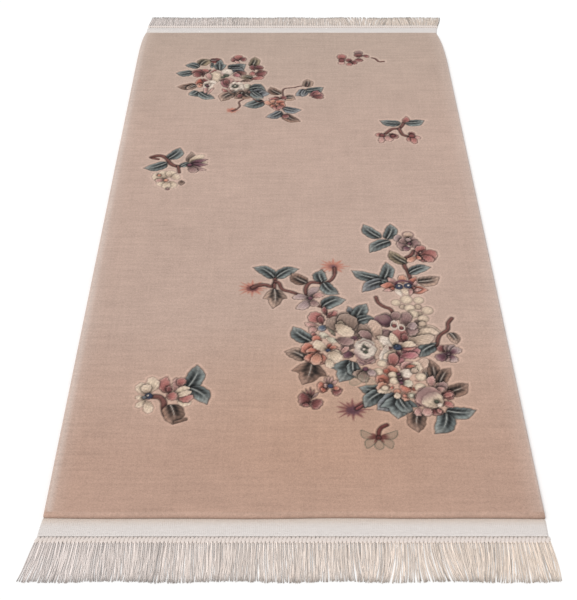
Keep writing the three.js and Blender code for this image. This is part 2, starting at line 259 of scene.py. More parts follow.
LARGE_SPRAY = """
burst coral -92 -285 44
burst maroon -91 -285 22
burst coral 92 -208 44
burst maroon 117 -655 46
burst plum 119 -657 24
branch bark 9 -91 -283 -80 -275 -62 -272 -49 -278 -41 -263 -41 -250
branch bark 8 -40 -262 -32 -266 -24 -288 -6 -296 13 -306
branch bark 7 -42 -270 -42 -296
branch bark 9 30 -307 28 -286 38 -265 62 -265
branch bark 7 64 -268 83 -259 94 -238 95 -214
branch bark 7 38 -330 56 -344 69 -350 72 -370
branch bark 9 282 -150 274 -166 258 -180 256 -206 262 -224 266 -252
branch bark 8 184 -314 188 -332 200 -346 213 -354 222 -376
branch bark 8 345 -384 335 -400 332 -420 312 -440 303 -472
branch maroon 7 126 -652 142 -640 158 -632
leaf teal 207 -102 166 -52 32 4
leaf teal 222 -107 238 -48 31 -4
leaf teal 230 -114 176 -152 33 -5
leaf olive 262 -196 222 -152 29 4
leaf teal 264 -232 314 -206 29 4
leaf taupe 281 -262 333 -249 34 -4
leaf teal 202 -254 132 -226 31 4
leaf teal 203 -258 219 -193 31 -5
leaf slate 212 -258 152 -292 32 -5
leaf teal 200 -256 220 -270 18 2
leaf teal 261 -500 300 -458 27 4
leaf teal -42 -248 -88 -207 31 -5
leaf teal -38 -248 10 -212 31 5
lobed taupe -42 -286 -42 -352 36 2
leaf brown 31 -266 -6 -235 33 3
leaf teal 66 -263 61 -220 30 4
leaf teal 68 -265 98 -307 32 -5
leaf teal 63 -348 114 -318 36 5
leaf slate 131 -395 122 -345 21 -1.7
leaf teal 134 -394 160 -335 33 1.5
leaf teal 135 -397 176 -381 29 2.3
leaf teal 37 -457 -4 -414 36 4
leaf taupe 26 -510 -16 -485 33 -4
lobed brown 38 -520 22 -586 50 3
lobed teal 118 -514 97 -579 50 3
leaf teal 124 -518 126 -566 26 -2
leaf teal 182 -596 132 -597 28 4
leaf teal 184 -604 139 -646 34 -4
leaf slate 210 -610 170 -658 44 4
lobed teal 209 -616 209 -679 52 2
leaf teal 212 -622 235 -665 28 -4
leaf taupe 279 -568 270 -541 15 1.2
leaf brown 290 -580 286 -511 27 -2.2
leaf brown 298 -582 323 -536 27 2
leaf brown 311 -607 357 -586 34 -3.4
leaf teal 303 -658 363 -661 32 -5
leaf teal 303 -663 282 -721 39 6
leaf brown 249 -656 241 -714 37 -3
petal violet 258 -106 238 -99 24 0
petal blush 272 -106 274 -78 24 0
ring mauve 273 -90 13.4 12.6 2
petal mauve 269 -126 244 -131 37 2.7
petal mauve 269 -123 258 -102 27 0
petal mauve 273 -123 292 -106 33 0
petal mauve 275 -126 300 -125 31 0
petal violet 270 -116 274 -102 13 0
petal plum 275 -133 259 -148 16 0
ball plum 274 -123 4.7
ball white 272 -134 2.4
petal maroon 289 -160 316 -190 23 -2.9
petal maroon 294 -157 283 -157 27 0
petal rose 300 -164 299 -130 26 1.7
petal rose 296 -154 332 -179 41 2.5
petal rose 299 -167 325 -189 21 0
spike coral 282 -169 298 -182 13 0
petal peach 285 -172 264 -190 16 0
ball pink 297 -156 2.5
petal peach 246 -268 248 -237 19 0
spike pink 233 -271 214 -246 16 0
spike coral 261 -271 280 -244 16 0
spike pink 270 -287 279 -255 9 0
spike coral 230 -283 196 -272 25 -2.5
spike pink 227 -287 201 -293 12 0
spike coral 264 -297 302 -287 27 3
spike pink 266 -293 289 -287 12 0
spike maroon 262 -283 275 -283 13 0
spike orange 231 -287 217 -283 9 0
spike pink 265 -283 260 -310 12 0
spike white 230 -283 242 -313 15 0
spike cream 244 -280 256 -311 15 0
stroke plum 6.1 230 -271 237 -261 250 -259 264 -263 268 -271
ball navy 238 -278 9
ball navy 258 -275 9
ball white 238 -277 2.7
ball white 259 -275 2.7
leaf taupe 335 -430 349 -464 23 1.7
leaf teal 300 -468 262 -502 33 -3.9
petal beige 246 -440 314 -419 37 4
petal bisque 258 -437 311 -426 24 3.4
petal beige 242 -457 302 -444 30 -2.7
ball beige 241 -347 7.3
ball beige 274 -347 8.3
ball taupe 272 -398 9.6
ball cream 251 -323 13.3
ball cream 278 -325 11.1
ball cream 227 -333 10.1
ball bisque 294 -359 12.7
ball cream 256 -351 11.5
ball beige 274 -371 8.3
ball cream 261 -371 12.6
ball bisque 283 -386 11.6
ball beige 279 -402 8.7
petal mauve 202 -412 201 -366 27 0
petal mauve 239 -409 249 -364 27 0
petal mauve 243 -412 264 -435 31 0
petal violet 246 -405 267 -412 25 0
petal violet 38 -318 53 -279 21 3
petal violet 36 -318 -1 -314 18 -3
petal violet 36 -320 11 -356 23 3
petal pink 42 -316 68 -304 16 2
petal mauve 40 -322 54 -345 19 -2
ball plum 38 -318 5.5
petal maroon 70 -373 67 -346 10 0
petal rose 67 -393 35 -370 35 1.8
petal maroon 62 -404 58 -377 14 0
petal rose 72 -381 96 -362 18 -1.8
petal maroon 73 -377 84 -364 7 0
petal pink 53 -407 25 -402 14 1.6
petal pink 53 -417 34 -427 18 -1.8
petal rose 50 -438 38 -434 11 0
petal blue 70 -407 55 -423 18 0
petal taupe 87 -419 82 -382 18 1.6
petal fern 88 -440 74 -407 10 -1.2
petal mint 80 -448 55 -431 17 1.4
petal mint 69 -444 97 -459 16 -2.2
petal coral 59 -456 41 -442 19 0
petal orange 72 -483 79 -464 11 0
petal coral 74 -485 92 -472 12 1.4
petal orange 86 -486 99 -483 7 0
petal coral 46 -490 20 -467 32 3.4
fade orange 46 -490 30 -469 18 0
petal coral 52 -490 43 -527 49 0
fade orange 53 -490 46 -515 35 0
petal coral 56 -490 26 -485 15 -3.8
petal coral 50 -492 24 -514 22 2
petal coral 55 -492 64 -522 22 -2
petal peach 52 -492 44 -529 24 0
petal cream 71 -486 44 -457 25 2
petal cream 78 -485 104 -494 17 -1.9
petal cream 78 -486 89 -521 21 1.7
petal white 78 -490 75 -515 8 0
ball navy 73 -485 5.3
petal taupe 94 -407 118 -364 26 1.5
petal taupe 110 -411 123 -385 15 0
petal mauve 218 -393 227 -363 23 0
petal plum 210 -411 181 -377 38 -2.4
fade mauve 188 -371 205 -407 31 0
petal mauve 215 -434 187 -427 23 2
stroke plum 1.9 190 -431 201 -423 211 -427
petal rose 228 -454 218 -421 19 1.2
petal blush 180 -456 171 -388 28 -2.2
petal taupe 159 -456 133 -401 38 -1.5
petal mauve 164 -456 144 -423 24 -1.9
petal plum 140 -450 122 -444 13 0
petal mauve 128 -479 104 -454 25 2
petal plum 128 -498 102 -492 24 1.9
petal pink 115 -483 95 -479 11 0
petal blush 161 -485 187 -454 26 2.1
petal blush 162 -490 185 -500 30 -1.9
petal mauve 151 -503 137 -528 21 0
petal mauve 155 -503 165 -524 22 0
rose white 151 -481 23.2 31.4
stroke mauve 4.5 130 -498 139 -511 153 -516 166 -505
stroke pink 1.6 132 -507 141 -518 154 -522 169 -513
stroke plum 1.8 137 -522 148 -527 160 -523
stroke mauve 2.1 140 -464 149 -456 161 -460 170 -471
stroke beige 2.4 174 -464 179 -479 175 -496
ball moss 150 -473 3.4
ball moss 152 -490 3.9
ball slate 145 -483 2.1
ball white 149 -482 3.4
ball moss 156 -479 2
petal white 162 -477 150 -465 4 0
petal mauve 91 -449 129 -462 26 -1.7
petal taupe 124 -438 133 -385 22 0
petal taupe 104 -430 83 -380 37 2
petal taupe 111 -430 117 -369 46 -3
petal olive 104 -430 101 -392 18 0
petal cream 93 -403 126 -441 32 -1.5
petal cream 76 -488 96 -520 31 0
petal cream 71 -511 78 -538 18 0
petal pink 101 -494 116 -473 13 0
petal magenta 213 -483 222 -529 28 0
petal rose 217 -490 198 -528 23 0
petal maroon 210 -475 192 -462 16 0
petal mint 212 -469 193 -446 19 1.3
spike cream 213 -465 210 -430 14 0
spike cream 199 -456 178 -441 15 -1.1
stroke cream 5.3 183 -446 186 -465 192 -483
petal cream 211 -483 189 -502 14 1.3
petal white 211 -485 201 -496 6 0
petal rose 235 -461 224 -417 36 2
petal maroon 239 -461 237 -433 15 0
ball maroon 218 -408 5.3
ring white 218 -407 7.2 13.5 2
ball maroon 233 -415 4.8
ring white 233 -415 6.5 10.2 2
petal magenta 228 -473 264 -496 39 -3.2
petal rose 221 -478 259 -474 20 0
petal maroon 210 -473 192 -474 20 0
ball navy 220 -474 9.9
ball blue 220 -471 3.3
petal cream 229 -468 256 -468 19 2.7
petal white 221 -473 184 -445 24 2.4
spike cream 218 -473 209 -429 19 0
petal white 201 -467 185 -528 18 -2.4
petal cream 216 -484 189 -511 17 0
petal cream 226 -473 259 -464 19 2.5
ball navy 220 -474 8.9
ball blue 218 -471 3
petal maroon 321 -490 307 -470 20 0
petal mauve 325 -492 325 -467 16 0
petal violet 327 -492 339 -467 16 0
petal violet 331 -493 353 -479 21 1.1
petal violet 329 -498 339 -520 20 -1
petal mauve 325 -498 320 -518 11 0
petal violet 323 -496 310 -500 15 0
petal plum 322 -500 298 -508 23 1.5
fade plum 327 -494 347 -484 16 0
fade plum 327 -494 337 -516 15 0
fade plum 327 -494 309 -500 15 0
ball plum 326 -494 5.6
ball violet 326 -495 2
petal rose 207 -533 210 -492 23 0
petal magenta 222 -502 263 -498 20 0
petal blush 241 -546 281 -511 26 -2.5
petal pink 230 -552 243 -517 29 1.3
petal coral 220 -579 196 -530 28 1.5
petal cream 235 -554 262 -522 28 -2.9
spike orange 231 -536 254 -530 10 1.1
petal orange 197 -554 187 -540 13 0
petal coral 199 -573 168 -568 34 2.2
petal orange 186 -577 176 -572 9 0
petal peach 196 -593 168 -593 26 -2.8
petal cream 198 -607 170 -603 16 -2.8
petal coral 242 -589 216 -600 25 0
petal orange 239 -596 251 -598 10 0
petal orange 203 -589 198 -598 6 0
petal peach 236 -617 216 -619 24 1.4
petal coral 231 -621 220 -614 8 0
petal pink 233 -579 218 -552 22 0
ball cream 184 -524 9.6
ball cream 175 -548 9.8
ball cream 204 -557 9
ball cream 206 -574 9.5
petal white 217 -550 245 -554 26 -1.5
petal mint 222 -582 244 -582 21 0
petal beige 245 -552 254 -539 15 0
ball cream 262 -563 11
ball cream 258 -593 11.9
ball peach 210 -605 7.6
petal cream 210 -607 209 -625 14 0
ball cream 186 -595 7.1
ball cream 239 -616 9.1
ball mint 238 -616 5
ball plum 217 -555 4.4
ball plum 219 -570 5.4
ball plum 220 -580 4.6
ball brown 219 -562 2.6
ball white 220 -569 1.4
stroke bark 1.8 249 -574 253 -576 257 -575
petal pink 282 -593 283 -560 18 1.1
petal mauve 287 -597 313 -582 22 -1.4
petal pink 288 -597 308 -598 13 0
petal maroon 297 -613 326 -613 26 -1.5
petal rose 299 -619 323 -610 14 0
petal rose 297 -634 320 -646 16 1.5
petal rose 268 -625 249 -610 34 -1.4
petal plum 264 -634 244 -634 20 1.5
petal pink 251 -648 245 -672 16 0
petal maroon 283 -647 290 -670 25 -2
petal rose 287 -650 292 -665 10 0
petal pink 270 -647 262 -672 21 0
stroke pink 1.3 255 -648 252 -672
petal pink 295 -647 260 -597 58 3.4
petal cream 295 -648 269 -611 47 2.1
fade mauve 258 -593 279 -636 62 0
petal white 289 -636 295 -647 10 0
ball moss 287 -633 4.2
petal taupe 150 -543 124 -560 24 2
petal taupe 150 -544 142 -578 24 -2
petal violet 152 -540 168 -560 17 0
sepal fern 142 -562 116 -586 22 0
sepal fern 152 -566 160 -592 18 0
ball plum 149 -540 6
spike pink 71 -589 64 -565 7 0
spike pink 72 -587 72 -559 7 0
spike pink 75 -586 80 -562 7 0
spike pink 78 -587 89 -571 8 0
petal coral 71 -591 49 -597 31 -2.3
petal orange 66 -597 55 -602 13 0
petal pink 72 -589 62 -587 12 0
petal maroon 79 -597 93 -613 23 2.8
petal coral 79 -593 93 -597 12 0
ball navy 75 -589 6
spike maroon 32 -624 18 -603 5 0
spike maroon 33 -622 25 -597 5 0
spike maroon 35 -622 34 -593 5 0
spike maroon 36 -622 42 -599 5 0
spike mauve 37 -623 50 -607 6 0
petal maroon 36 -626 10 -632 38 -2.3
petal maroon 34 -632 57 -642 30 -2.2
petal maroon 26 -636 23 -647 14 0
sepal moss 160 -727 129 -715 17 4
sepal moss 168 -727 204 -717 17 -4
sepal moss 162 -734 138 -753 18 -3
sepal moss 165 -736 165 -760 18 0
sepal moss 168 -734 192 -754 18 3
fade umber 168 -728 138 -731 13 0
fade umber 162 -728 192 -732 13 0
fade umber 166 -728 146 -717 10 0
fade umber 164 -728 188 -720 10 0
fade umber 164 -725 154 -749 8 0
fade umber 166 -725 176 -748 8 0
branch umber 8 165 -727 166 -713 172 -702 183 -695
ball umber 165 -729 5
"""

FAR_SPRAY = """
burst coral -166 464 22.7
branch bark 3.9 -237 686 -245 671 -255 663 -256 648
branch bark 3.3 -136 524 -148 509 -145 488 -154 471 -163 463
leaf teal -288 674 -334 663 33 4.5
leaf teal -270 701 -310 717 32 -4.3
leaf olive -267 713 -240 748 37 4.8
leaf maroon -240 740 -209 746 28 -3.1
leaf teal -238 713 -228 713 31 0
lobed teal -209 682 -211 748 27 1.6
leaf teal -187 697 -133 713 44 -6.1
leaf slate -182 682 -136 682 31 4.6
petal bark -167 674 -132 663 22 0
petal maroon -153 744 -178 752 35 0
petal rose -153 744 -162 772 26 0
petal maroon -152 748 -134 746 23 0
petal pink -157 736 -165 728 19 0
leaf olive -117 705 -107 761 30 -3.3
petal maroon -111 682 -117 713 18 0
petal maroon -105 690 -88 709 26 0
petal rose -113 678 -115 652 17 0
petal maroon -105 671 -74 663 40 -4.4
petal bark -97 674 -86 686 18 0
stroke plum 2.3 -117 709 -105 701 -90 705
leaf olive -112 637 -148 644 25 -4.4
petal rose -119 633 -81 644 18 0
petal brown -146 622 -115 628 15 0
leaf brown -274 603 -324 586 33 4.3
leaf taupe -274 599 -299 577 22 0
leaf teal -266 567 -287 543 33 3.5
leaf teal -262 563 -219 524 31 -4.5
petal maroon -254 655 -286 682 34 -3.6
petal rose -255 674 -248 690 22 0
petal maroon -259 663 -285 655 30 0
petal rose -224 667 -236 674 39 0
rose cream -221 646 19.2 30.1
petal pink -234 629 -243 667 16 0
rose white -188 671 17 20.5
petal pink -166 652 -151 663 33 0
petal magenta -170 655 -149 655 18 0
petal pink -207 629 -165 622 29 0
ball moss -190 653 7.7
ball moss -198 644 5.4
petal orange -252 614 -275 618 32 -2.9
petal peach -253 599 -270 599 25 0
petal maroon -256 622 -245 631 20 0
ball peach -259 603 4.6
petal magenta -186 585 -195 629 23 0
petal maroon -187 599 -189 631 17 0
petal rose -182 570 -193 563 33 0
petal pink -238 577 -250 577 44 0
petal pink -234 570 -227 567 40 0
petal white -236 599 -253 599 32 0
petal white -236 603 -220 622 24 0
petal white -236 596 -224 592 28 0
petal white -240 607 -248 618 17 0
petal moss -236 599 -246 596 17 0
ball plum -241 597 5.3
ball white -235 601 3
petal pink -160 585 -174 567 33 0
petal rose -157 607 -157 623 23 0
petal white -164 596 -177 599 28 0
petal white -162 599 -165 618 17 0
petal white -160 596 -139 607 30 0
petal white -160 591 -133 581 35 0
petal white -163 588 -170 572 20 0
petal white -162 586 -151 564 20 0
ball moss -162 594 8.3
ball white -162 595 3
petal mint -115 596 -137 592 29 0
leaf taupe -166 556 -201 517 38 -4.6
leaf brown -159 563 -177 556 24 0
petal brown -132 549 -155 567 36 4.8
petal taupe -132 556 -118 577 26 0
leaf brown -140 563 -157 524 28 2.8
leaf brown -132 552 -113 531 36 -3.2
petal maroon -139 538 -154 545 20 0
petal pink -125 563 -103 567 22 0
leaf teal -122 577 -73 577 44 8.8
leaf slate -102 541 -67 563 48 9.1
leaf teal -114 563 -83 527 27 -3.2
leaf teal -81 517 -132 484 42 5
branch bark 2.6 -109 527 -94 509 -83 513 -72 507
branch bark 3.4 -25 539 -27 566 -22 581 -9 585 6 587 16 593 28 596
leaf brown -33 551 -65 587 30 4.6
leaf taupe 41 590 46 633 29 -1.9
stroke bark 2.2 41 590 44 612
leaf slate 35 578 14 539 30 3.9
leaf slate 41 578 28 536 21 0
leaf teal 39 569 90 584 33 -4.7
petal magenta 48 545 87 551 35 3.6
petal maroon 56 536 88 533 18 0
petal rose 59 551 81 557 14 0
leaf taupe -22 530 9 527 32 3.5
petal maroon -34 527 -53 533 17 0
petal maroon -34 527 -16 536 19 0
petal rose -34 523 -65 527 14 0
petal peach -53 489 -74 515 26 -2.6
petal peach -50 501 -56 521 17 0
petal coral -43 495 -55 477 25 0
petal coral -37 495 -28 518 25 2.9
petal coral -37 489 -19 489 35 0
petal rose -37 483 -49 469 22 0
petal rose -40 489 -28 475 22 0
ball peach -42 495 4.3
stroke maroon 1.5 -52 483 -43 501 -28 483
leaf slate -25 477 24 463 31 -5.6
leaf slate -29 460 -69 426 31 4.8
leaf brown -25 446 19 406 31 -4.7
petal maroon -25 446 -13 426 20 0
"""

SPRIGS = """
branch bark 9 302 404 296 388 286 374 268 371 249 349
branch bark 9 287 375 290 358 296 342 312 334
leaf teal 293 399 237 408 31 4
leaf teal 305 400 359 410 31 -4
spike rose 300 402 314 434 19 -3
petal rose 246 346 222 340 18 0
petal pink 244 344 233 303 17 0
petal pink 248 342 262 312 22 0
petal maroon 260 350 279 326 22 0
ball maroon 240 340 7
ball maroon 268 337 6
petal rose 318 340 307 311 15 0
petal rose 320 338 324 299 17 0
petal pink 322 340 340 324 13 0
petal maroon 312 340 324 354 18 0
ball maroon 318 337 8.5
petal rose 146 740 147 778 27 0
petal pink 146 738 144 716 20 0
ball maroon 146 740 9
petal maroon 172 728 163 752 18 0
petal maroon 170 727 191 730 22 0
petal rose 168 728 167 709 18 0
petal mauve 196 764 198 800 25 0
petal maroon 196 758 197 780 26 0
petal maroon 196 754 197 732 24 0
petal maroon 208 771 227 760 15 2
branch bark 5 236 756 246 750 255 734 269 735
branch bark 11 -366 237 -352 244 -338 242 -325 230 -318 214 -308 202 -296 196 -284 199
branch bark 7 -348 228 -362 232
branch bark 7 -294 196 -289 168
leaf teal -322 229 -291 279 35 -5
leaf teal -323 212 -379 182 34 5
leaf teal -288 195 -266 213 19 0
spike taupe -273 215 -260 261 22 -4
petal cream -268 214 -230 247 24 0
petal cream -264 208 -219 214 13 0
spike plum -270 200 -220 229 18 2
spike plum -270 200 -218 204 17 0
spike mauve -270 198 -221 177 20 -2
petal mauve -266 194 -246 168 22 0
ball plum -265 202 6.5
petal cream -320 140 -356 158 31 3
petal cream -318 144 -335 174 25 0
petal cream -312 146 -308 176 27 0
petal cream -306 142 -286 153 25 0
petal cream -318 130 -340 111 25 0
petal cream -308 130 -299 99 25 0
petal cream -316 128 -318 96 21 0
petal pink -322 134 -347 133 14 0
ball peach -339 155 5
ball peach -320 134 6
ball mauve -313 96 4.5
spike brown -280 134 -280 112 15 0
branch bark 12 -286 -618 -270 -620 -261 -633 -259 -650 -254 -668 -244 -680
leaf brown -248 -640 -234 -693 42 3
branch brown 7 -234 -688 -214 -680
leaf teal -218 -598 -195 -529 38 -5
leaf teal -214 -595 -169 -635 36 6
petal rose -252 -611 -267 -564 25 4
petal maroon -251 -612 -254 -588 12 0
petal pink -243 -606 -239 -566 16 -2
petal rose -234 -590 -226 -566 20 0
petal cream -241 -614 -213 -592 17 2
petal cream -234 -624 -207 -641 22 -2
petal rose -236 -617 -202 -623 24 -3
petal cream -240 -621 -207 -604 14 0
petal rose -258 -619 -234 -616 22 0
petal cream -296 -612 -316 -582 25 2
petal cream -294 -610 -287 -564 28 -3
petal cream -297 -610 -301 -585 22 0
petal cream -296 -625 -319 -620 13 0
petal cream -296 -628 -315 -649 15 0
petal cream -294 -630 -288 -665 20 0
ball navy -293 -617 8.5
ball slate -301 -621 4.5
ball white -294 -616 2.2
"""

# Dyes of the motifs, 0 to 255 in sRGB
DYES = {
    "teal": (101, 106, 105),
    "slate": (106, 108, 111),
    "brown": (114, 91, 80),
    "taupe": (140, 118, 106),
    "olive": (122, 108, 90),
    "bark": (106, 70, 64),
    "cream": (216, 194, 171),
    "white": (224, 208, 193),
    "bisque": (214, 190, 168),
    "beige": (196, 172, 152),
    "blush": (200, 170, 152),
    "mint": (204, 194, 174),
    "fern": (128, 124, 106),
    "moss": (84, 88, 74),
    "umber": (98, 54, 50),
    "coral": (190, 120, 102),
    "peach": (202, 146, 124),
    "orange": (168, 90, 74),
    "pink": (190, 146, 138),
    "rose": (168, 108, 102),
    "magenta": (170, 108, 112),
    "maroon": (122, 72, 70),
    "mauve": (146, 116, 112),
    "plum": (104, 68, 78),
    "violet": (168, 144, 142),
    "navy": (62, 70, 92),
    "blue": (92, 102, 118),
}
# Dyes of a leaf's midrib, of pale rims and tips (the pale rim of a petal is a painted highlight), and of a
# blossom's shaded side
VEIN = np.array([204.0, 200, 192])
PALE = np.array([232.0, 206, 190])
SHADE = np.array([168.0, 132, 130])

# Outlines of blades: share of the length, share of the half width
LEAF_EDGE = (
    (0, 0.1), (0.04, 0.4), (0.1, 0.7), (0.2, 0.93), (0.34, 1), (0.46, 0.94), (0.6, 0.98), (0.72, 0.86),
    (0.83, 0.6), (0.91, 0.28), (0.96, 0.12), (1, 0))
LOBED_EDGE = (
    (0, 0.1), (0.05, 0.46), (0.14, 0.8), (0.26, 1.08), (0.4, 1.34), (0.5, 1.46), (0.51, 1.05), (0.56, 0.8),
    (0.68, 0.74), (0.79, 0.58), (0.88, 0.32), (0.95, 0.12), (1, 0))
PETAL_EDGE = (
    (0, 0.16), (0.12, 0.5), (0.28, 0.78), (0.46, 0.96), (0.62, 1), (0.76, 0.92), (0.88, 0.7), (0.96, 0.38),
    (1, 0))
SPIKE_EDGE = ((0, 0.2), (0.15, 0.6), (0.35, 0.95), (0.5, 1), (0.68, 0.8), (0.84, 0.45), (1, 0))
CURVE_STEPS = 6  # points on each span of a curve
THINNEST = 0.8  # least half width that a blade is measured by
EDGE_BLEND = 0.8  # half width of a motif's soft edge
PAINT_MARGIN = 6  # how far out a motif's carving and shade are worked out
GROOVE_OUT = 0.5  # how far out from a motif's edge its cut is deepest
# Painted shadow that a motif lays on the one below:
SHADOW_REACH = 3.4  # how far a motif shades the one below
DOME_REACH = 5  # how far in a motif swells
# Painted highlight: a paler band of field beside each cut
HIGHLIGHT_OUT = 4  # how far out the field is palest beside a cut
HIGHLIGHT_REACH = 2.6  # and how wide that band is
FAR_OFF = 1e3  # farther than any motif
RUFFLES = 9  # waves round a blade's edge
RAYS = 13  # rays of a burst
BURST_SQUASH = 1.25  # a burst's width over its length


def distance_out(x, y, ring):
    """Distance to a closed outline, negative inside: nearest point of each side, and crossings counted."""
    ax, ay = ring.T
    bx, by = np.roll(ring, -1, axis=0).T
    ex, ey = bx - ax, by - ay
    px, py = x[:, None] - ax, y[:, None] - ay
    t = np.clip((px * ex + py * ey) / (ex * ex + ey * ey + 1e-9), 0, 1)
    gap = np.sqrt(((px - t * ex) ** 2 + (py - t * ey) ** 2).min(axis=1))
    straddles = (ay <= y[:, None]) != (by <= y[:, None])
    rise = np.where(np.abs(ey) < 1e-9, 1e-9, ey)
    crossings = (straddles & (px < py / rise * ex)).sum(axis=1)
    return np.where(crossings % 2 == 1, -gap, gap)


def distance_along(x, y, line):
    """Distance to an open line of points."""
    a, b = line[:-1], line[1:]
    e = b - a
    px, py = x[:, None] - a[:, 0], y[:, None] - a[:, 1]
    t = np.clip((px * e[:, 0] + py * e[:, 1]) / ((e**2).sum(axis=1) + 1e-9), 0, 1)
    return np.sqrt(((px - t * e[:, 0]) ** 2 + (py - t * e[:, 1]) ** 2).min(axis=1))


def curved(points):
    """A smooth line through the points: a Catmull-Rom cubic over each span."""
    p = np.array(points, float).reshape(-1, 2)
    padded = np.vstack([2 * p[0] - p[1], p, 2 * p[-1] - p[-2]])
    t = np.linspace(0, 1, CURVE_STEPS, endpoint=False)[:, None, None]
    a, b, c, d = (padded[k : k + len(p) - 1][None] for k in range(4))
    cubic = 0.5 * (2 * b + (c - a) * t + (2 * a - 5 * b + 4 * c - d) * t**2 + (3 * b - a - 3 * c + d) * t**3)
    return np.vstack([cubic.transpose(1, 0, 2).reshape(-1, 2), p[-1:]])


class Blade:
    """A leaf or petal from root to tip: half width is a share table of the length. The midrib bows to one
    side and its tip curls back."""

    def __init__(self, numbers, edge):
        x0, y0, x1, y1, self.width, self.bow = numbers
        self.root = np.array([x0, y0])
        reach = np.array([x1, y1]) - self.root
        self.length = float(np.hypot(*reach))
        self.way = reach / self.length
        self.side = np.array([-self.way[1], self.way[0]])
        self.shares, self.halves = np.array(edge).T

    def outline(self):
        u = self.shares
        half = self.halves * self.width / 2
        mid = self.root + np.outer(u * self.length, self.way) + np.outer(self.bend(u), self.side)
        right = mid - np.outer(half, self.side)
        left = (mid + np.outer(half, self.side))[-2:0:-1]
        return np.vstack([right, left])

    def bend(self, u):
        """Sideways place of the midrib: a parabola, less a squared curl over the last third."""
        return self.bow * (4 * u * (1 - u) - 1.2 * np.clip((u - 0.66) / 0.34, 0, 1) ** 2)

    def own(self, x, y):
        """Share along the blade, distance off its midrib, and that distance as a share of the half width."""
        px, py = x - self.root[0], y - self.root[1]
        u = (px * self.way[0] + py * self.way[1]) / self.length
        off = px * self.side[0] + py * self.side[1] - self.bend(np.clip(u, 0, 1))
        half = np.interp(u, self.shares, self.halves) * self.width / 2
        return u, off, off / np.maximum(half, THINNEST)


def firmness(rgb):
    """How hard a dye's edge is carved: 1 for dark wool, little for cream."""
    return 0.22 + 0.78 * float(smooth(0.8, 0.52, np.mean(rgb) / WHITE))


def flecks(x, y):
    """Fine uneven tone of hand-dyed wool, about zero: two crossed pairs of sines."""
    slanted = np.sin(x / 1.9 + y / 4.3) * np.sin(y / 1.6 - x / 5.1)
    upright = np.sin(x / 4.7) * np.sin(y / 3.9)
    return 0.6 * slanted + 0.4 * upright


def leaf_tone(dye, u, off, q, gap):
    """Dye over a leaf: near black beside the midrib and at the base, greyer at the tip, slanting veins, a
    pale midrib that gives out past the middle."""
    dark = bell(np.abs(q) - 0.3, 0.3) * smooth(1.05, 0.35, u)
    dark += 0.32 * smooth(-0.3, 0.9, q) + 0.4 * smooth(0.25, 0, u)
    slant = u - 0.22 * np.abs(q)
    tone = 1.36 - 0.88 * dark + 0.09 * np.sin(TURN * 5.2 * slant) + 0.05 * np.sin(TURN * (11.3 * slant + q))
    tone -= 0.12 * smooth(-1.5, 0.1, gap)
    warm = 1 + (0.6 - dark)[:, None] * np.array([0.02, 0.01, -0.01])
    rgb = blend(dye * tone[:, None] * warm, PALE, 0.2 * smooth(0.55, 1, u) * smooth(0.9, 0.2, q))
    vein = bell(off, 1.5 - 0.8 * np.clip(u, 0, 1)) * smooth(-0.04, 0.08, u) * smooth(0.8, 0.5, u)
    return blend(rgb, 0.3 * dye + 0.7 * VEIN, 0.95 * vein)


def petal_tone(dye, u, off, q, gap):
    """Dye over a petal: deep at the root, the plain dye halfway, pale towards its rim, streaked. A pale line
    just inside its edge is a painted highlight, and the darkening where it meets its cut is painted shade.
    """
    light = dye.mean() / WHITE
    deep = dye * (0.24 + 0.6 * light) * np.array([1.0, 0.95, 0.93])
    rgb = blend(np.broadcast_to(deep, (len(u), 3)), dye, smooth(-0.05, 0.6, u))
    tip = (0.36 - 0.2 * light) * smooth(0.5, 1, u)
    # painted highlight: a pale line just inside the petal's edge
    rim = (0.12 + 0.36 * light) * bell(gap + 1.7, 1.2)
    rgb = blend(rgb, PALE, tip + rim)
    streaks = 0.06 * np.sin(TURN * (2.7 * q + 0.5 * u)) + 0.05 * np.sin(TURN * (5.3 * q - 0.9 * u))
    # painted shade where the petal meets its cut
    shade = 0.16 * firmness(dye) * smooth(-1.0, 0.2, gap)
    return rgb * (1 + streaks * smooth(1.1, 0.5, u) - shade)[:, None]


def ball_tone(dye, share, gap):
    """Dye over a round: palest in the middle and darker to the rim, painted shading of a dome, with painted
    shade where it meets its cut.
    """
    # painted shade: darker to the rim like a lit dome, and darker still where the round meets its cut
    shade = 0.26 * firmness(dye) * smooth(-1.5, 0.2, gap)
    return dye * (1.04 - 0.13 * smooth(0.35, 1, share) - shade)[:, None]


def plain(dye, points):
    """One dye for all of some points."""
    return np.broadcast_to(dye, (len(points), 3))


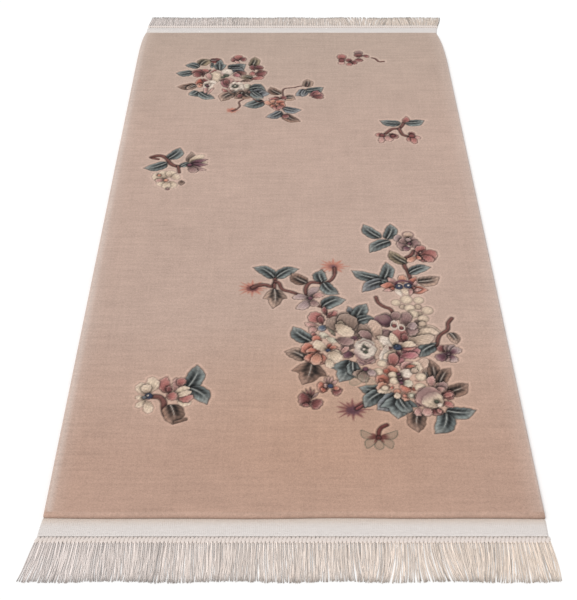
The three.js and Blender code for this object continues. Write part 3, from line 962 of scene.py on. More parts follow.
class Chart:
    """The rug's drawing at points of the pile: dye, carving and swell, laid on motif over motif."""

    def __init__(self, x, y, field, reach):
        self.x, self.y = x, y
        self.reach = reach
        self.rgb = field.copy()
        self.cut = np.zeros(len(x))
        self.swell = np.zeros(len(x))
        self.near = np.full(len(x), FAR_OFF)  # to the nearest motif of any kind
        self.edge = self.near.copy()  # to the nearest carved one

    def around(self, low, high):
        """The points in a box, with a margin for the carving, and their places."""
        margin = PAINT_MARGIN
        pick = np.flatnonzero(
            (self.x > low[0] - margin) & (self.x < high[0] + margin)
            & (self.y > low[1] - margin) & (self.y < high[1] + margin))
        return pick, self.x[pick], self.y[pick]

    def stain(self, pick, rgb, share):
        """Dye laid on without carving."""
        self.rgb[pick] = blend(self.rgb[pick], rgb, share)

    def come_near(self, pick, gap):
        """Notes a motif that may be nearer than the last."""
        self.near[pick] = np.minimum(self.near[pick], gap)

    def lay(self, pick, gap, rgb, carved=1.0):
        """One motif over the points picked: dye inside, a cut with smooth sides at its edge, a domed middle.
        It lays a painted shadow on the motifs that it lies over."""
        if not len(pick):
            return
        inside = smooth(EDGE_BLEND, -EDGE_BLEND, gap)
        firm = firmness(rgb)
        over = smooth(0.5, -1.5, self.near[pick])
        # painted shadow on the motifs below, near this one's edge
        painted_shadow = (0.1 + 0.26 * firm) * bell(np.maximum(gap, 0), SHADOW_REACH) * over * carved
        self.rgb[pick] *= (1 - painted_shadow)[:, None]
        self.stain(pick, rgb * (1 + 0.09 * flecks(self.x[pick], self.y[pick]))[:, None], inside)
        groove = smooth(self.reach, 0, np.abs(gap - GROOVE_OUT)) * carved * firm
        self.cut[pick] = np.maximum(self.cut[pick] * (1 - inside), groove)
        dome = 1 - np.exp(np.minimum(gap, 0) / DOME_REACH)
        self.swell[pick] += inside * carved * (dome - self.swell[pick])
        self.come_near(pick, gap)
        self.edge[pick] = np.minimum(self.edge[pick], gap)

    def under(self, shape):
        """The points about a blade, its own measures there and the distance to its outline."""
        ring = shape.outline()
        pick, x, y = self.around(ring.min(0), ring.max(0))
        return pick, shape.own(x, y), distance_out(x, y, ring)

    def blade(self, dye, numbers, edge, tone, ruffle=0.0):
        """A leaf or petal whose edge is ruffled by a sine about its middle."""
        shape = Blade(numbers, edge)
        pick, (u, off, q), gap = self.under(shape)
        gap = gap + ruffle * np.sin(RUFFLES * np.arctan2(off, (u - 0.5) * shape.length))
        self.lay(pick, gap, tone(dye, u, off, q, gap))

    def leaf(self, dye, numbers):
        self.blade(dye, numbers, LEAF_EDGE, leaf_tone, 0.3)

    def lobed(self, dye, numbers):
        self.blade(dye, numbers, LOBED_EDGE, leaf_tone, 0.35)

    def petal(self, dye, numbers):
        self.blade(dye, numbers, PETAL_EDGE, petal_tone, 0.7)

    def spike(self, dye, numbers):
        self.blade(dye, numbers, SPIKE_EDGE, petal_tone)

    def fade(self, dye, numbers):
        """A dark stain on a petal, strong at its root, that fades out towards its tip and sides."""
        pick, (u, _, q), gap = self.under(Blade(numbers, PETAL_EDGE))
        share = smooth(1.0, 0.4, u) * smooth(1.1, 0.4, np.abs(q)) * smooth(1.0, -2.0, gap)
        self.stain(pick, dye, 0.9 * share)

    def sepal(self, dye, numbers):
        """A petal drawn by its outline alone, a thin line that fades into the field."""
        pick, _, gap = self.under(Blade(numbers, PETAL_EDGE))
        self.stain(pick, dye, 0.75 * bell(gap, 1.0) + 0.2 * smooth(0, -2, gap))
        self.come_near(pick, np.abs(gap) + 1)

    def oval(self, numbers):
        """Points about an oval, their place in it and their share of the way out to its edge."""
        x, y, wide, long = numbers
        pick, px, py = self.around((x - wide, y - long), (x + wide, y + long))
        px, py = (px - x) / wide, (py - y) / long
        return pick, px, py, np.hypot(px, py)

    def ball(self, dye, numbers):
        x, y, radius = numbers
        pick, _, _, share = self.oval((x, y, radius, radius))
        gap = (share - 1) * radius
        self.lay(pick, gap, ball_tone(dye, share, gap))

    def ring(self, dye, numbers):
        """An oval line round bare field."""
        *oval, width = numbers
        pick, _, _, share = self.oval(oval)
        gap = np.abs(share - 1) * min(oval[2:]) - width / 2
        self.lay(pick, gap, plain(dye, pick), carved=0.4)

    def rose(self, dye, numbers):
        """A full blossom: an oval of ruffled petals in rings, each dark where it leaves the one inside it
        and pale at its rim, the whole shaded mauve low on its left."""
        pick, px, py, far = self.oval(numbers)
        angle = np.arctan2(py, px)
        share = far / (1 + 0.05 * np.cos(7 * angle + 1) + 0.03 * np.cos(11 * angle))
        size = min(numbers[2:])
        gap = (share - 1) * size
        ring = share * size / 9 + 0.32 * np.sin(3 * angle + 0.6) + 0.16 * np.sin(5 * angle)
        fold = (ring - np.floor(ring)) * smooth(0.15, 0.4, share)
        rgb = ball_tone(dye, share, gap) * (0.9 + 0.16 * fold)[:, None]
        rgb = blend(rgb, PALE, 0.3 * bell(fold - 0.85, 0.12))
        rgb = blend(rgb, SHADE, 0.62 * smooth(0.25, 1.05, -0.75 * px - 0.6 * py) * share)
        self.lay(pick, gap, rgb)

    def along(self, numbers):
        """The points about a curved line, their places and distance off it, and its half width."""
        width, line = numbers[0], curved(numbers[1:])
        pick, x, y = self.around(line.min(0) - width, line.max(0) + width)
        return pick, x, y, distance_along(x, y, line), width / 2

    def branch(self, dye, numbers):
        """A stem, light along its middle and knotted by slow waves of tone."""
        pick, x, y, off, half = self.along(numbers)
        tone = 1.16 - 0.4 * np.clip(off / half, 0, 1) ** 2
        tone += 0.07 * np.sin(x / 2.7) * np.sin(y / 3.1)
        self.lay(pick, off - half, dye * tone[:, None])

    def stroke(self, dye, numbers):
        """A plain, lightly carved line."""
        pick, _, _, off, half = self.along(numbers)
        self.lay(pick, off - half, plain(dye, pick), carved=0.3)

    def burst(self, dye, numbers):
        """Thin rays about a dark middle, their lengths in turn, that fade into the field."""
        x, y, radius = numbers
        pick, px, py = self.around((x - radius, y - radius), (x + radius, y + radius))
        px, py = px - x, (py - y) * BURST_SQUASH
        far = np.hypot(px, py)
        angle = np.arctan2(py, px) + 0.1 * np.sin(3 * np.arctan2(py, px))
        aside = far * np.abs(np.sin(RAYS / 2 * angle)) * 2 / RAYS
        reach = radius * (0.84 + 0.16 * np.cos(2.4 * np.round(RAYS * angle / TURN)))
        half = 1.3 + 2.6 * smooth(0.8, 0.2, far / radius)
        rays = 0.9 * bell(aside, half) * smooth(reach, 0.7 * reach, far)
        wash = 0.8 * smooth(0.5 * radius, 0.1 * radius, far)
        dark = np.array(DYES["plum"], float)
        rgb = blend(plain(dye, pick), dark, bell(far, 0.17 * radius))
        self.stain(pick, rgb, np.maximum(rays, wash))
        self.cut[pick] = np.maximum(self.cut[pick], 0.5 * bell(far - 0.2 * radius, 4))
        self.come_near(pick, far - 0.8 * radius)

    def draw(self, rows):
        """All the rows of a spray, in order."""
        for row in rows.strip().splitlines():
            kind, dye, *numbers = row.split()
            getattr(self, kind)(np.array(DYES[dye], float), [float(n) for n in numbers])

    def paint_highlight(self):
        """A painted highlight: the field is paler in a thin band beside each cut."""
        band = bell(self.edge - HIGHLIGHT_OUT, HIGHLIGHT_REACH) * (self.edge > GROOVE_OUT)
        self.rgb *= 1 + 0.09 * band[:, None]


# Field wool along the rug, partly uneven dyeing and partly painted light (a brighter middle, a darker near
# end): place, and which of the near, middle and far dyes it has there
FIELD = table("y dye", """
-914.5 0
-780 0
-400 1
350 1
914.5 2
""")
# Painted shade: a wide, warmer and darker patch where the pile leans the other way
PATCH = {"x": 90, "y": -650, "wide": 260, "long": 230}
PATCH_SHADE = np.array([1.0, 5, 9])


def field_tone(x, y, dyes):
    """Field wool, 0 to 255 in sRGB: the near, middle and far dyes in turn along the rug, partly uneven dyeing
    and partly painted light, and a warmer, darker wide patch low on the right, painted shade of pile that
    leans the other way."""
    tones = np.array([shown(dye) for dye in (dyes.near_field, dyes.mid_field, dyes.far_field)])
    order = tones[FIELD["dye"].astype(int)]
    rgb = np.stack([np.interp(y, FIELD["y"], order[:, k]) for k in range(3)], axis=1)
    # painted shade of the pile that leans the other way
    patch = bell(x - PATCH["x"], PATCH["wide"]) * bell(y - PATCH["y"], PATCH["long"])
    return rgb - patch[:, None] * PATCH_SHADE


def charted(x, y, sizes, dyes):
    """The whole drawing at points in millimetres."""
    chart = Chart(x, y, field_tone(x, y, dyes), sizes.carve_reach / MM)
    for rows in (FAR_SPRAY, SPRIGS, LARGE_SPRAY):
        chart.draw(rows)
    chart.paint_highlight()
    return chart


# Faces over a lattice whose cells are split only where the drawing needs it


def patchwork(columns, rows, cell, split, step, rim):
    """Faces over a lattice of columns by rows cells, each cell units wide. A cell marked in split has a
    face for each square of step units. Any other is one square, or a fan about its middle where a
    neighbour is split or where it meets the rim, whose sides have points every rim units.
    Node (i, j) has the number j * (columns * cell + 1) + i. All faces turn anticlockwise from above."""
    wide = columns * cell + 1
    r, c = np.nonzero(split)
    sub = np.arange(0, cell, step)
    i = (c[:, None, None] * cell + sub[None, None, :] + 0 * sub[None, :, None]).ravel()
    j = (r[:, None, None] * cell + sub[None, :, None] + 0 * sub[None, None, :]).ravel()
    quads = [square(i, j, step, wide)]
    sides = np.full((4, rows, columns), cell)
    sides[0, 1:][split[:-1]] = step
    sides[1, :, :-1][split[:, 1:]] = step
    sides[2, :-1][split[1:]] = step
    sides[3, :, 1:][split[:, :-1]] = step
    sides[0, 0] = sides[2, -1] = rim
    sides[1, :, -1] = sides[3, :, 0] = rim
    whole = ~split & (sides == cell).all(axis=0)
    r, c = np.nonzero(whole)
    quads.append(square(c * cell, r * cell, cell, wide))
    fans = []
    corners = np.array([(0, 0), (1, 0), (1, 1), (0, 1)]) * cell
    for side in range(4):
        start, way = corners[side], (corners[(side + 1) % 4] - corners[side]) // cell
        for pace in {step, rim, cell}:
            r, c = np.nonzero(~split & ~whole & (sides[side] == pace))
            k = np.arange(0, cell, pace)
            i0 = (c * cell)[:, None] + start[0] + way[0] * k
            j0 = (r * cell)[:, None] + start[1] + way[1] * k
            here = j0 * wide + i0
            after = (j0 + way[1] * pace) * wide + i0 + way[0] * pace
            middle = ((r * cell + cell // 2) * wide + c * cell + cell // 2)[:, None] + 0 * here
            fans.append(np.stack([here, after, middle], axis=-1).reshape(-1, 3))
    return np.vstack(quads), np.vstack(fans)


def square(i, j, side, wide):
    """Corners of the squares whose first corners are (i, j)."""
    return np.stack([
        j * wide + i, j * wide + i + side, (j + side) * wide + i + side, (j + side) * wide + i,
    ], axis=-1)


def rim_nodes(columns, rows, used):
    """The used nodes on a lattice's outer edge, once round anticlockwise."""
    wide = columns + 1
    i = np.concatenate([
        np.arange(columns), np.full(rows, columns), np.arange(columns, 0, -1), np.zeros(rows, int)])
    j = np.concatenate([
        np.zeros(columns, int), np.arange(rows), np.full(columns, rows), np.arange(rows, 0, -1)])
    nodes = j * wide + i
    return nodes[np.isin(nodes, used)]


def shares(nodes, columns, rows):
    """Shares across and along of a lattice's nodes."""
    j, i = np.divmod(nodes, columns + 1)
    return i / columns, j / rows


class Slab:
    """A closed cloth: a lattice above, a lattice below, and rings of points round the edge between them.
    Points are kept in groups, each group's points numbered after those of the last."""

    def __init__(self):
        self.points = []
        self.colours = []
        self.faces = []
        self.count = 0

    def sheet(self, faces, shape, look, flip):
        """Adds a lattice's faces and the points they use. shape gives the points for shares across and
        along, and look their dye. Gives the numbers of the rim's points."""
        columns, rows, quads, fans = faces
        used, index = np.unique(np.concatenate([quads.ravel(), fans.ravel()]), return_inverse=True)
        points = shape(*shares(used, columns, rows))
        quads, fans = index[: quads.size].reshape(-1, 4), index[quads.size :].reshape(-1, 3)
        rim = rim_nodes(columns, rows, used)
        for group in (quads, fans):
            self.faces.append((group[:, ::-1] if flip else group) + self.count)
        return self.add(points, look(points)) + np.searchsorted(used, rim), rim

    def add(self, points, colours):
        """Adds points and gives the first one's number."""
        first = self.count
        self.points.append(points)
        self.colours.append(colours)
        self.count += len(points)
        return first

    def join(self, upper, lower):
        """A band of squares between two rings of point numbers, the upper one listed anticlockwise."""
        self.faces.append(np.stack([upper, lower, np.roll(lower, -1), np.roll(upper, -1)], axis=-1))

    def piece(self, name, finish):
        return knit(name, np.vstack(self.points), self.faces, np.vstack(self.colours), finish)


def knit(name, points, faces, colours, finish, own_map=None):
    """A mesh piece from points in millimetres, arrays of faces and a dye for each point, 0 to 255 in sRGB.
    own_map gives a place on the yarn's own map for each corner of each face."""
    mesh = bpy.data.meshes.new(name)
    corners = np.concatenate([f.ravel() for f in faces]).astype(np.int32)
    sizes = np.concatenate([np.full(len(f), f.shape[1], np.int32) for f in faces])
    mesh.vertices.add(len(points))
    mesh.vertices.foreach_set("co", (points * MM).astype(np.float32).ravel())
    mesh.loops.add(len(corners))
    mesh.polygons.add(len(sizes))
    mesh.polygons.foreach_set("loop_start", (np.cumsum(sizes) - sizes).astype(np.int32))
    mesh.polygons.foreach_set("vertices", corners)
    mesh.polygons.foreach_set("use_smooth", np.ones(len(sizes), bool))
    mesh.update(calc_edges=True)
    if own_map is not None:
        layer = mesh.uv_layers.new(name="yarn")
        layer.data.foreach_set("uv", own_map.astype(np.float32).ravel())
    mesh.validate()
    dye = mesh.attributes.new("dye", "FLOAT_COLOR", "POINT")
    rgba = np.column_stack([linear(colours / WHITE), np.ones(len(points))]).astype(np.float32)
    dye.data.foreach_set("color", rgba.ravel())
    piece = bpy.data.objects.new(name, mesh)
    bpy.context.scene.collection.objects.link(piece)
    mesh.materials.append(finish)
    return piece


# Finishes


class Value:
    """A socket of a material's node tree, so that sums on sockets read as arithmetic."""

    def __init__(self, finish, socket):
        self.finish = finish
        self.socket = socket

    def sum(self, operation, first, second):
        node = self.finish.node("ShaderNodeMath", {0: first, 1: second}, operation=operation)
        return Value(self.finish, node.outputs[0])

    def __add__(self, other):
        return self.sum("ADD", self, other)

    def __radd__(self, other):
        return self.sum("ADD", other, self)

    def __sub__(self, other):
        return self.sum("SUBTRACT", self, other)

    def __rsub__(self, other):
        return self.sum("SUBTRACT", other, self)

    def __mul__(self, other):
        return self.sum("MULTIPLY", self, other)

    def __rmul__(self, other):
        return self.sum("MULTIPLY", other, self)


class Finish:
    """The nodes of one material, made by one method."""

    def __init__(self, name):
        self.material = bpy.data.materials.new(name)
        self.material.use_nodes = True
        self.tree = self.material.node_tree
        self.tree.nodes.clear()

    def node(self, kind, inputs=None, **settings):
        """A node of a type, with its settings and the values or links of its sockets."""
        node = self.tree.nodes.new(kind)
        for name, value in settings.items():
            setattr(node, name, value)
        for name, value in (inputs or {}).items():
            if isinstance(value, Value):
                self.tree.links.new(value.socket, node.inputs[name])
            else:
                node.inputs[name].default_value = value
        return node

    def out(self, node, name=0):
        return Value(self, node.outputs[name])

    def place(self):
        return self.out(self.node("ShaderNodeTexCoord"), "Object")

    def stretched(self, place, scale):
        return self.out(self.node("ShaderNodeMapping", {"Vector": place, "Scale": scale}), "Vector")

    def noise(self, place, scale, detail=2.0, roughness=0.5):
        """Soft noise about zero, from -0.5 to 0.5."""
        inputs = {"Vector": place, "Scale": scale, "Detail": detail, "Roughness": roughness}
        return self.out(self.node("ShaderNodeTexNoise", inputs)) - 0.5

    def wave(self, turns):
        """The sine of a number of turns."""
        return self.out(self.node("ShaderNodeMath", {0: turns * TURN}, operation="SINE"))

    def axis(self, place, name):
        return self.out(self.node("ShaderNodeSeparateXYZ", {0: place}), name)

    def dyed(self, tone):
        """The dye that the mesh carries, times a tone."""
        dye = self.out(self.node("ShaderNodeAttribute", attribute_name="dye"), "Color")
        return self.out(self.node("ShaderNodeVectorMath", {0: dye, "Scale": tone}, operation="SCALE"))

    def bump(self, height, distance, strength):
        inputs = {"Height": height, "Distance": distance, "Strength": strength}
        return self.out(self.node("ShaderNodeBump", inputs))

    def surface(self, inputs):
        """The material, of a shader with some of its sockets set."""
        shader = self.node("ShaderNodeBsdfPrincipled", inputs)
        self.node("ShaderNodeOutputMaterial", {"Surface": self.out(shader)})
        return self.material

    def cloth(self, colour, normal, roughness, sheen):
        """A matt cloth with a fibre sheen."""
        return self.surface({
            "Base Color": colour,
            "Normal": normal,
            "Roughness": roughness,
            "Specular IOR Level": 0.15,
            "Sheen Weight": sheen,
            "Sheen Roughness": 0.5,
        })


def pile_wool():
    """Cut wool pile: the charted dye under shading patches, faint streaks both ways, tuft ends and fibre."""
    finish = Finish("carved wool pile")
    place = finish.place()
    patch = finish.noise(place, 5.0, 2.0)
    mottle = finish.noise(place, 36.0, 3.0, 0.6)
    weft = finish.noise(finish.stretched(place, (9.0, 120.0, 1.0)), 1.0, 3.0, 0.6)
    warp = finish.noise(finish.stretched(place, (110.0, 5.0, 1.0)), 1.0, 2.0, 0.6)
    knot = finish.noise(place, 190.0, 2.0, 0.6)
    tuft = finish.noise(place, 430.0, 2.0, 0.6)
    fibre = finish.noise(place, 1500.0, 1.0)
    tone = 0.908 + patch * 0.15 + mottle * 0.16 + weft * 0.28 + warp * 0.1
    tone = tone + knot * 0.34 + tuft * 0.5 + fibre * 0.1
    colour = finish.dyed(tone)
    normal = finish.bump(knot * 0.6 + tuft + fibre * 0.4 + weft * 0.5, 1.1 * MM, 0.7)
    return finish.cloth(colour, normal, roughness=0.95, sheen=0.1)


def flat_weave():
    """Flat-woven cotton and the knotted back: weft ribs across the rug over a slower warp, with slubs."""
    finish = Finish("flat-woven cotton")
    place = finish.place()
    x, y = finish.axis(place, "X"), finish.axis(place, "Y")
    slub = finish.noise(finish.stretched(place, (60.0, 700.0, 60.0)), 1.0, 3.0, 0.6)
    stain = finish.noise(place, 14.0, 2.0)
    rib = finish.wave(y * 590.0 + slub * 1.2)
    warp = finish.wave(x * 278.0)
    height = rib * 0.5 + warp * 0.35 + slub * 0.8
    tone = 1.0 + stain * 0.05 + slub * 0.12 + height * 0.025
    colour = finish.dyed(tone)
    normal = finish.bump(height, 0.5 * MM, 0.8)
    return finish.cloth(colour, normal, roughness=0.9, sheen=0.12)


def fringe_yarn():
    """Plied cotton yarn: slanting plies on the yarn's own map, fine fuzz, a dye for each yarn."""
    finish = Finish("plied cotton yarn")
    own = finish.out(finish.node("ShaderNodeUVMap", uv_map="yarn"))
    around, along = finish.axis(own, "X"), finish.axis(own, "Y")
    ply = finish.wave(around * 2.0 + along * 320.0)
    fuzz = finish.noise(finish.place(), 1100.0, 2.0, 0.6)
    tone = 1.0 + ply * 0.06 + fuzz * 0.16
    colour = finish.dyed(tone)
    normal = finish.bump(ply * 0.6 + fuzz, 0.3 * MM, 0.8)
    return finish.cloth(colour, normal, roughness=0.9, sheen=0.2)


# Pieces


def ride_as(piece, node):
    """The piece stands for a CAD node, whose part it hides, and rides with the rug."""
    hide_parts(node)
    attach(piece, "root")


def nap(x, y):
    """Slow unevenness of the cut pile, in millimetres: two crossed pairs of sines."""
    long_waves = np.sin(x / 71 + 1.7 * np.sin(y / 143)) * np.sin(y / 97 + 0.8)
    short_waves = np.sin(x / 23 + y / 31) * np.sin(y / 17 - x / 41)
    return 0.22 * long_waves + 0.1 * short_waves


class RUG_OT_pile(bpy.types.Operator):
    """Knots the wool pile: a closed slab with a carved, swelling top, round shoulders and upright sides"""

    bl_idname = "rug.knot_pile"
    bl_label = "Wool pile"

    SHOULDER_RINGS = 5
    WALL_RINGS = 2
    UNDER_CELLS = 8  # pile cells along the side of one cell of the underside
    SPLIT_MARGIN = 3.4  # a motif nearer than this splits a cell
    NAP_ON_EDGE = 0.4  # share of the top's unevenness
    WALL_INSET = 0.3
    FOOT_INSET = 0.9
    FOOT_SINK = 0.3  # into the foundation
    UNDER_INSET = 1.2
    UNDER_SINK = 0.4

    def execute(self, context):
        sizes, dyes = context.scene.rug_sizes, context.scene.rug_dyes
        self.sizes, self.dyes = sizes, dyes
        self.top = sizes.pile_top / MM
        self.round = sizes.shoulder / MM
        self.half = sizes.pile_length / MM / 2
        columns, rows, split = sizes.columns, sizes.rows, sizes.split
        marked = self.drawn_cells(columns, rows)
        slab = Slab()
        quads, fans = patchwork(columns, rows, split, marked, 1, split)
        upper, rim = slab.sheet((columns * split, rows * split, quads, fans), self.crown, self.dye, False)
        s, t = shares(rim, columns * split, rows * split)
        for inset, height, pale, dark in self.profile():
            x, y = self.plan(s, t, inset)
            points = np.column_stack([x, y, height + self.NAP_ON_EDGE * nap(x, y)])
            lower = np.arange(len(rim)) + slab.add(points, self.edge_sheen_and_shade(points, pale, dark))
            slab.join(upper, lower)
            upper = lower
        self.close_below(slab, columns, rows, split, upper)
        piece = slab.piece("wool_pile", pile_wool())
        ride_as(piece, "rug_body")
        return {"FINISHED"}

    def plan(self, s, t, inset):
        return place(s, t, inset, PILE_EDGES, -self.half, self.half)

    def drawn_cells(self, columns, rows):
        """The cells that a motif or its carving reaches, judged at corners, sides' middles and middle."""
        across, along = np.arange(2 * columns + 1), np.arange(2 * rows + 1)
        s, t = np.meshgrid(across / 2 / columns, along / 2 / rows)
        x, y = self.plan(s.ravel(), t.ravel(), self.round)
        chart = charted(x, y, self.sizes, self.dyes)
        close = (chart.near < self.SPLIT_MARGIN).reshape(s.shape)
        marks = [close[a : a + 2 * rows : 2, b : b + 2 * columns : 2] for a in range(3) for b in range(3)]
        return np.any(marks, axis=0)

    def crown(self, s, t):
        """The pile's top: the cut level with its nap, less the carving, plus the motifs' swell."""
        x, y = self.plan(s, t, self.round)
        self.chart = charted(x, y, self.sizes, self.dyes)
        cut = self.chart.cut * self.sizes.carve_depth / MM
        rise = self.chart.swell * self.sizes.swell / MM
        return np.column_stack([x, y, self.top + nap(x, y) - cut + rise])

    def dye(self, points):
        """Charted dye, darker down in the carving where little light reaches."""
        shade = 0.3 * self.chart.cut**1.5
        rgb = self.chart.rgb * (1 - shade)[:, None]
        # painted sheen near the sides
        return blend(rgb, shown(self.dyes.rim), self.painted_side_sheen(points))

    def painted_side_sheen(self, points):
        """Painted sheen: how much the top near the sides is paled to the rim dye, for the pile's flank
        catching light.
        """
        x, y = points[:, 0], points[:, 1]
        from_left = x - np.interp(y, PILE_EDGES["y"], PILE_EDGES["left"])
        from_right = np.interp(y, PILE_EDGES["y"], PILE_EDGES["right"]) - x
        broad = 0.2 * smooth(45, 10, np.minimum(from_left, from_right))
        return broad + 0.52 * smooth(15, 7, from_left) + 0.1 * smooth(14, 7, from_right)

    def edge_sheen_and_shade(self, points, pale, dark=0.0):
        """Wool of the rug's edge: painted sheen along the sides, and painted shade towards the foot at both
        ends.
        """
        field = field_tone(points[:, 0], points[:, 1], self.dyes)
        end = smooth(self.half - 14, self.half - 6, np.abs(points[:, 1]))
        # painted sheen paling along the sides, painted shade darkening towards the foot at the ends
        return blend(field, shown(self.dyes.rim), pale * (1 - 0.85 * end)) * (1 - dark * end)[:, None]

    def profile(self):
        """Rings from the top down: a quarter circle, then the wall. Columns: inset, height, how much painted
        sheen along the sides and how much painted shade at the ends."""
        rings = []
        for k in range(1, self.SHOULDER_RINGS + 1):
            angle = k / self.SHOULDER_RINGS * math.pi / 2
            height = self.top - self.round * (1 - math.cos(angle))
            # painted sheen on the shoulder along the sides
            rings.append((self.round * (1 - math.sin(angle)), height, 0.6, 0.0))
        low = self.sizes.cloth / MM
        for k in range(1, self.WALL_RINGS + 1):
            share = k / self.WALL_RINGS
            height = self.top - self.round - share * (self.top - self.round - low)
            # the wall and the foot darken at the ends with painted shade, and pale along the sides with
            # painted sheen
            rings.append((self.WALL_INSET * share, height, 0.5, 0.15 * share))
        rings.append((self.FOOT_INSET, low - self.FOOT_SINK, 0.3, 0.22))
        return rings

    def close_below(self, slab, columns, rows, split, upper):
        """The flat underside, of large cells whose rim has the same points as the rings."""
        big = self.UNDER_CELLS
        none = np.zeros((rows // big, columns // big), bool)
        quads, fans = patchwork(columns // big, rows // big, big * split, none, split, split)
        low = self.sizes.cloth / MM - self.UNDER_SINK

        def under(s, t):
            x, y = self.plan(s, t, self.UNDER_INSET)
            return np.column_stack([x, y, np.full(len(x), low)])

        faces = (columns * split, rows * split, quads, fans)
        lower, _ = slab.sheet(faces, under, lambda points: self.edge_sheen_and_shade(points, 0), True)
        slab.join(upper, lower)


class RUG_OT_foundation(bpy.types.Operator):
    """Weaves the cotton foundation: one thin closed cloth from end to end, its flat-woven ends in view and
    the knots' backs showing their dyes below"""

    bl_idname = "rug.weave_foundation"
    bl_label = "Cotton foundation"

    COLUMNS = 68
    ROWS = 144
    SPLIT = 4
    SPLIT_MARGIN = 9  # a motif nearer than this splits a cell
    INSET = 0.8  # of both faces from the cloth's edge
    BACK_TONE = 0.97
    WARM_COTTON = np.array([214.0, 196.0, 180.0])
    WARM_REACH = 11  # how far from the pile the cotton is warm

    def execute(self, context):
        sizes, dyes = context.scene.rug_sizes, context.scene.rug_dyes
        self.sizes, self.dyes = sizes, dyes
        self.thick = sizes.cloth / MM
        self.half = sizes.pile_length / MM / 2
        self.near, self.far = BODY_LOW.y / MM, BODY_HIGH.y / MM
        ends = self.end_cells()
        slab = Slab()
        upper, rim = slab.sheet(self.faces(ends), self.face, self.cotton, False)
        s, t = shares(rim, self.COLUMNS * self.SPLIT, self.ROWS * self.SPLIT)
        points = self.sheet_points(s, t, 0.0, self.thick / 2)
        middle = np.arange(len(rim)) + slab.add(points, self.edge_dye(points))
        slab.join(upper, middle)
        lower, _ = slab.sheet(self.faces(ends | self.drawn_cells()), self.back, self.back_dye, True)
        slab.join(middle, lower)
        piece = slab.piece("cotton_foundation", flat_weave())
        ride_as(piece, "rug_body")
        return {"FINISHED"}

    def faces(self, split):
        """The cloth's lattice and its faces, with the marked cells split."""
        pattern = patchwork(self.COLUMNS, self.ROWS, self.SPLIT, split, 1, self.SPLIT)
        return self.COLUMNS * self.SPLIT, self.ROWS * self.SPLIT, *pattern

    def sheet_points(self, s, t, inset, height):
        """The cloth at a height above its underside, which the far end's humps lift off the floor."""
        x, y = place(s, t, inset, CLOTH_EDGES, self.near, self.far)
        return np.column_stack([x, y, lift(x, y, self.half, self.far) + height])

    def face(self, s, t):
        return self.sheet_points(s, t, self.INSET, self.thick)

    def back(self, s, t):
        return self.sheet_points(s, t, self.INSET, 0.0)

    def end_cells(self):
        """The rows of cells that hold the flat-woven ends."""
        edges = self.near + (self.far - self.near) * np.arange(self.ROWS + 1) / self.ROWS
        in_ends = (edges[:-1] < -self.half) | (edges[1:] > self.half)
        return np.repeat(in_ends[:, None], self.COLUMNS, axis=1)

    def drawn_cells(self):
        """The cells that a motif reaches, judged at their middles."""
        across, along = np.arange(self.COLUMNS) + 0.5, np.arange(self.ROWS) + 0.5
        s, t = np.meshgrid(across / self.COLUMNS, along / self.ROWS)
        x, y, _ = self.back(s.ravel(), t.ravel()).T
        return (charted(x, y, self.sizes, self.dyes).near < self.SPLIT_MARGIN).reshape(s.shape)

    def cotton(self, points):
        """Ivory cotton, a little warmer where it meets the pile."""
        warm = 0.6 * bell(np.abs(points[:, 1]) - self.half, self.WARM_REACH)
        return blend(shown(self.dyes.cotton), self.WARM_COTTON, warm)

    def between_ends(self, points, wool):
        """Wool as far as the pile reaches, and cotton beyond."""
        in_pile = smooth(self.half + 0.5, self.half - 0.5, np.abs(points[:, 1]))
        return blend(wool, self.cotton(points), 1 - in_pile)

    def edge_dye(self, points):
        return self.between_ends(points, field_tone(points[:, 0], points[:, 1], self.dyes))

    def back_dye(self, points):
        chart = charted(points[:, 0], points[:, 1], self.sizes, self.dyes)
        return self.between_ends(points, chart.rgb * self.BACK_TONE)


LOCK_SHAPE = table("share spread height", """
0 3.6 1.8
0.05 3 3
0.16 3.2 2.4
0.35 5.4 1.9
0.7 6.8 1.7
1 7.4 1.4
""")
# Waves of the locks' length: height, and turn per lock
LENGTH_WAVES = ((1, 1.7), (1.6, 0.23))
STRIP = 5.3
ROOT_INSET = 3.1
SECTIONS = 11
SIDES = 4
# Places across where locks sway with their neighbours: where it grows, and where it dies down
SWAY = {"reach": 12, "wave": 34, "grows": (60, 170), "dies": (450, 380)}
# Place across where the upper yarns of neighbouring locks cross
CROSSING = {"x": 225, "reach": 90, "shift": 3.2}

# Ends: the way the locks point, the edge they hang from, the roots' reach, the free length and the lean
ENDS = {
    "near": {
        "way": -1, "edge": -952.5, "left": -463, "right": 457.5, "length": 90, "lean": (-20, 5),
        "tone": 1.0},
    "far": {
        "way": 1, "edge": 966.5, "left": -445, "right": 450, "length": 64, "lean": (6, 13),
        "tone": 0.945},
}


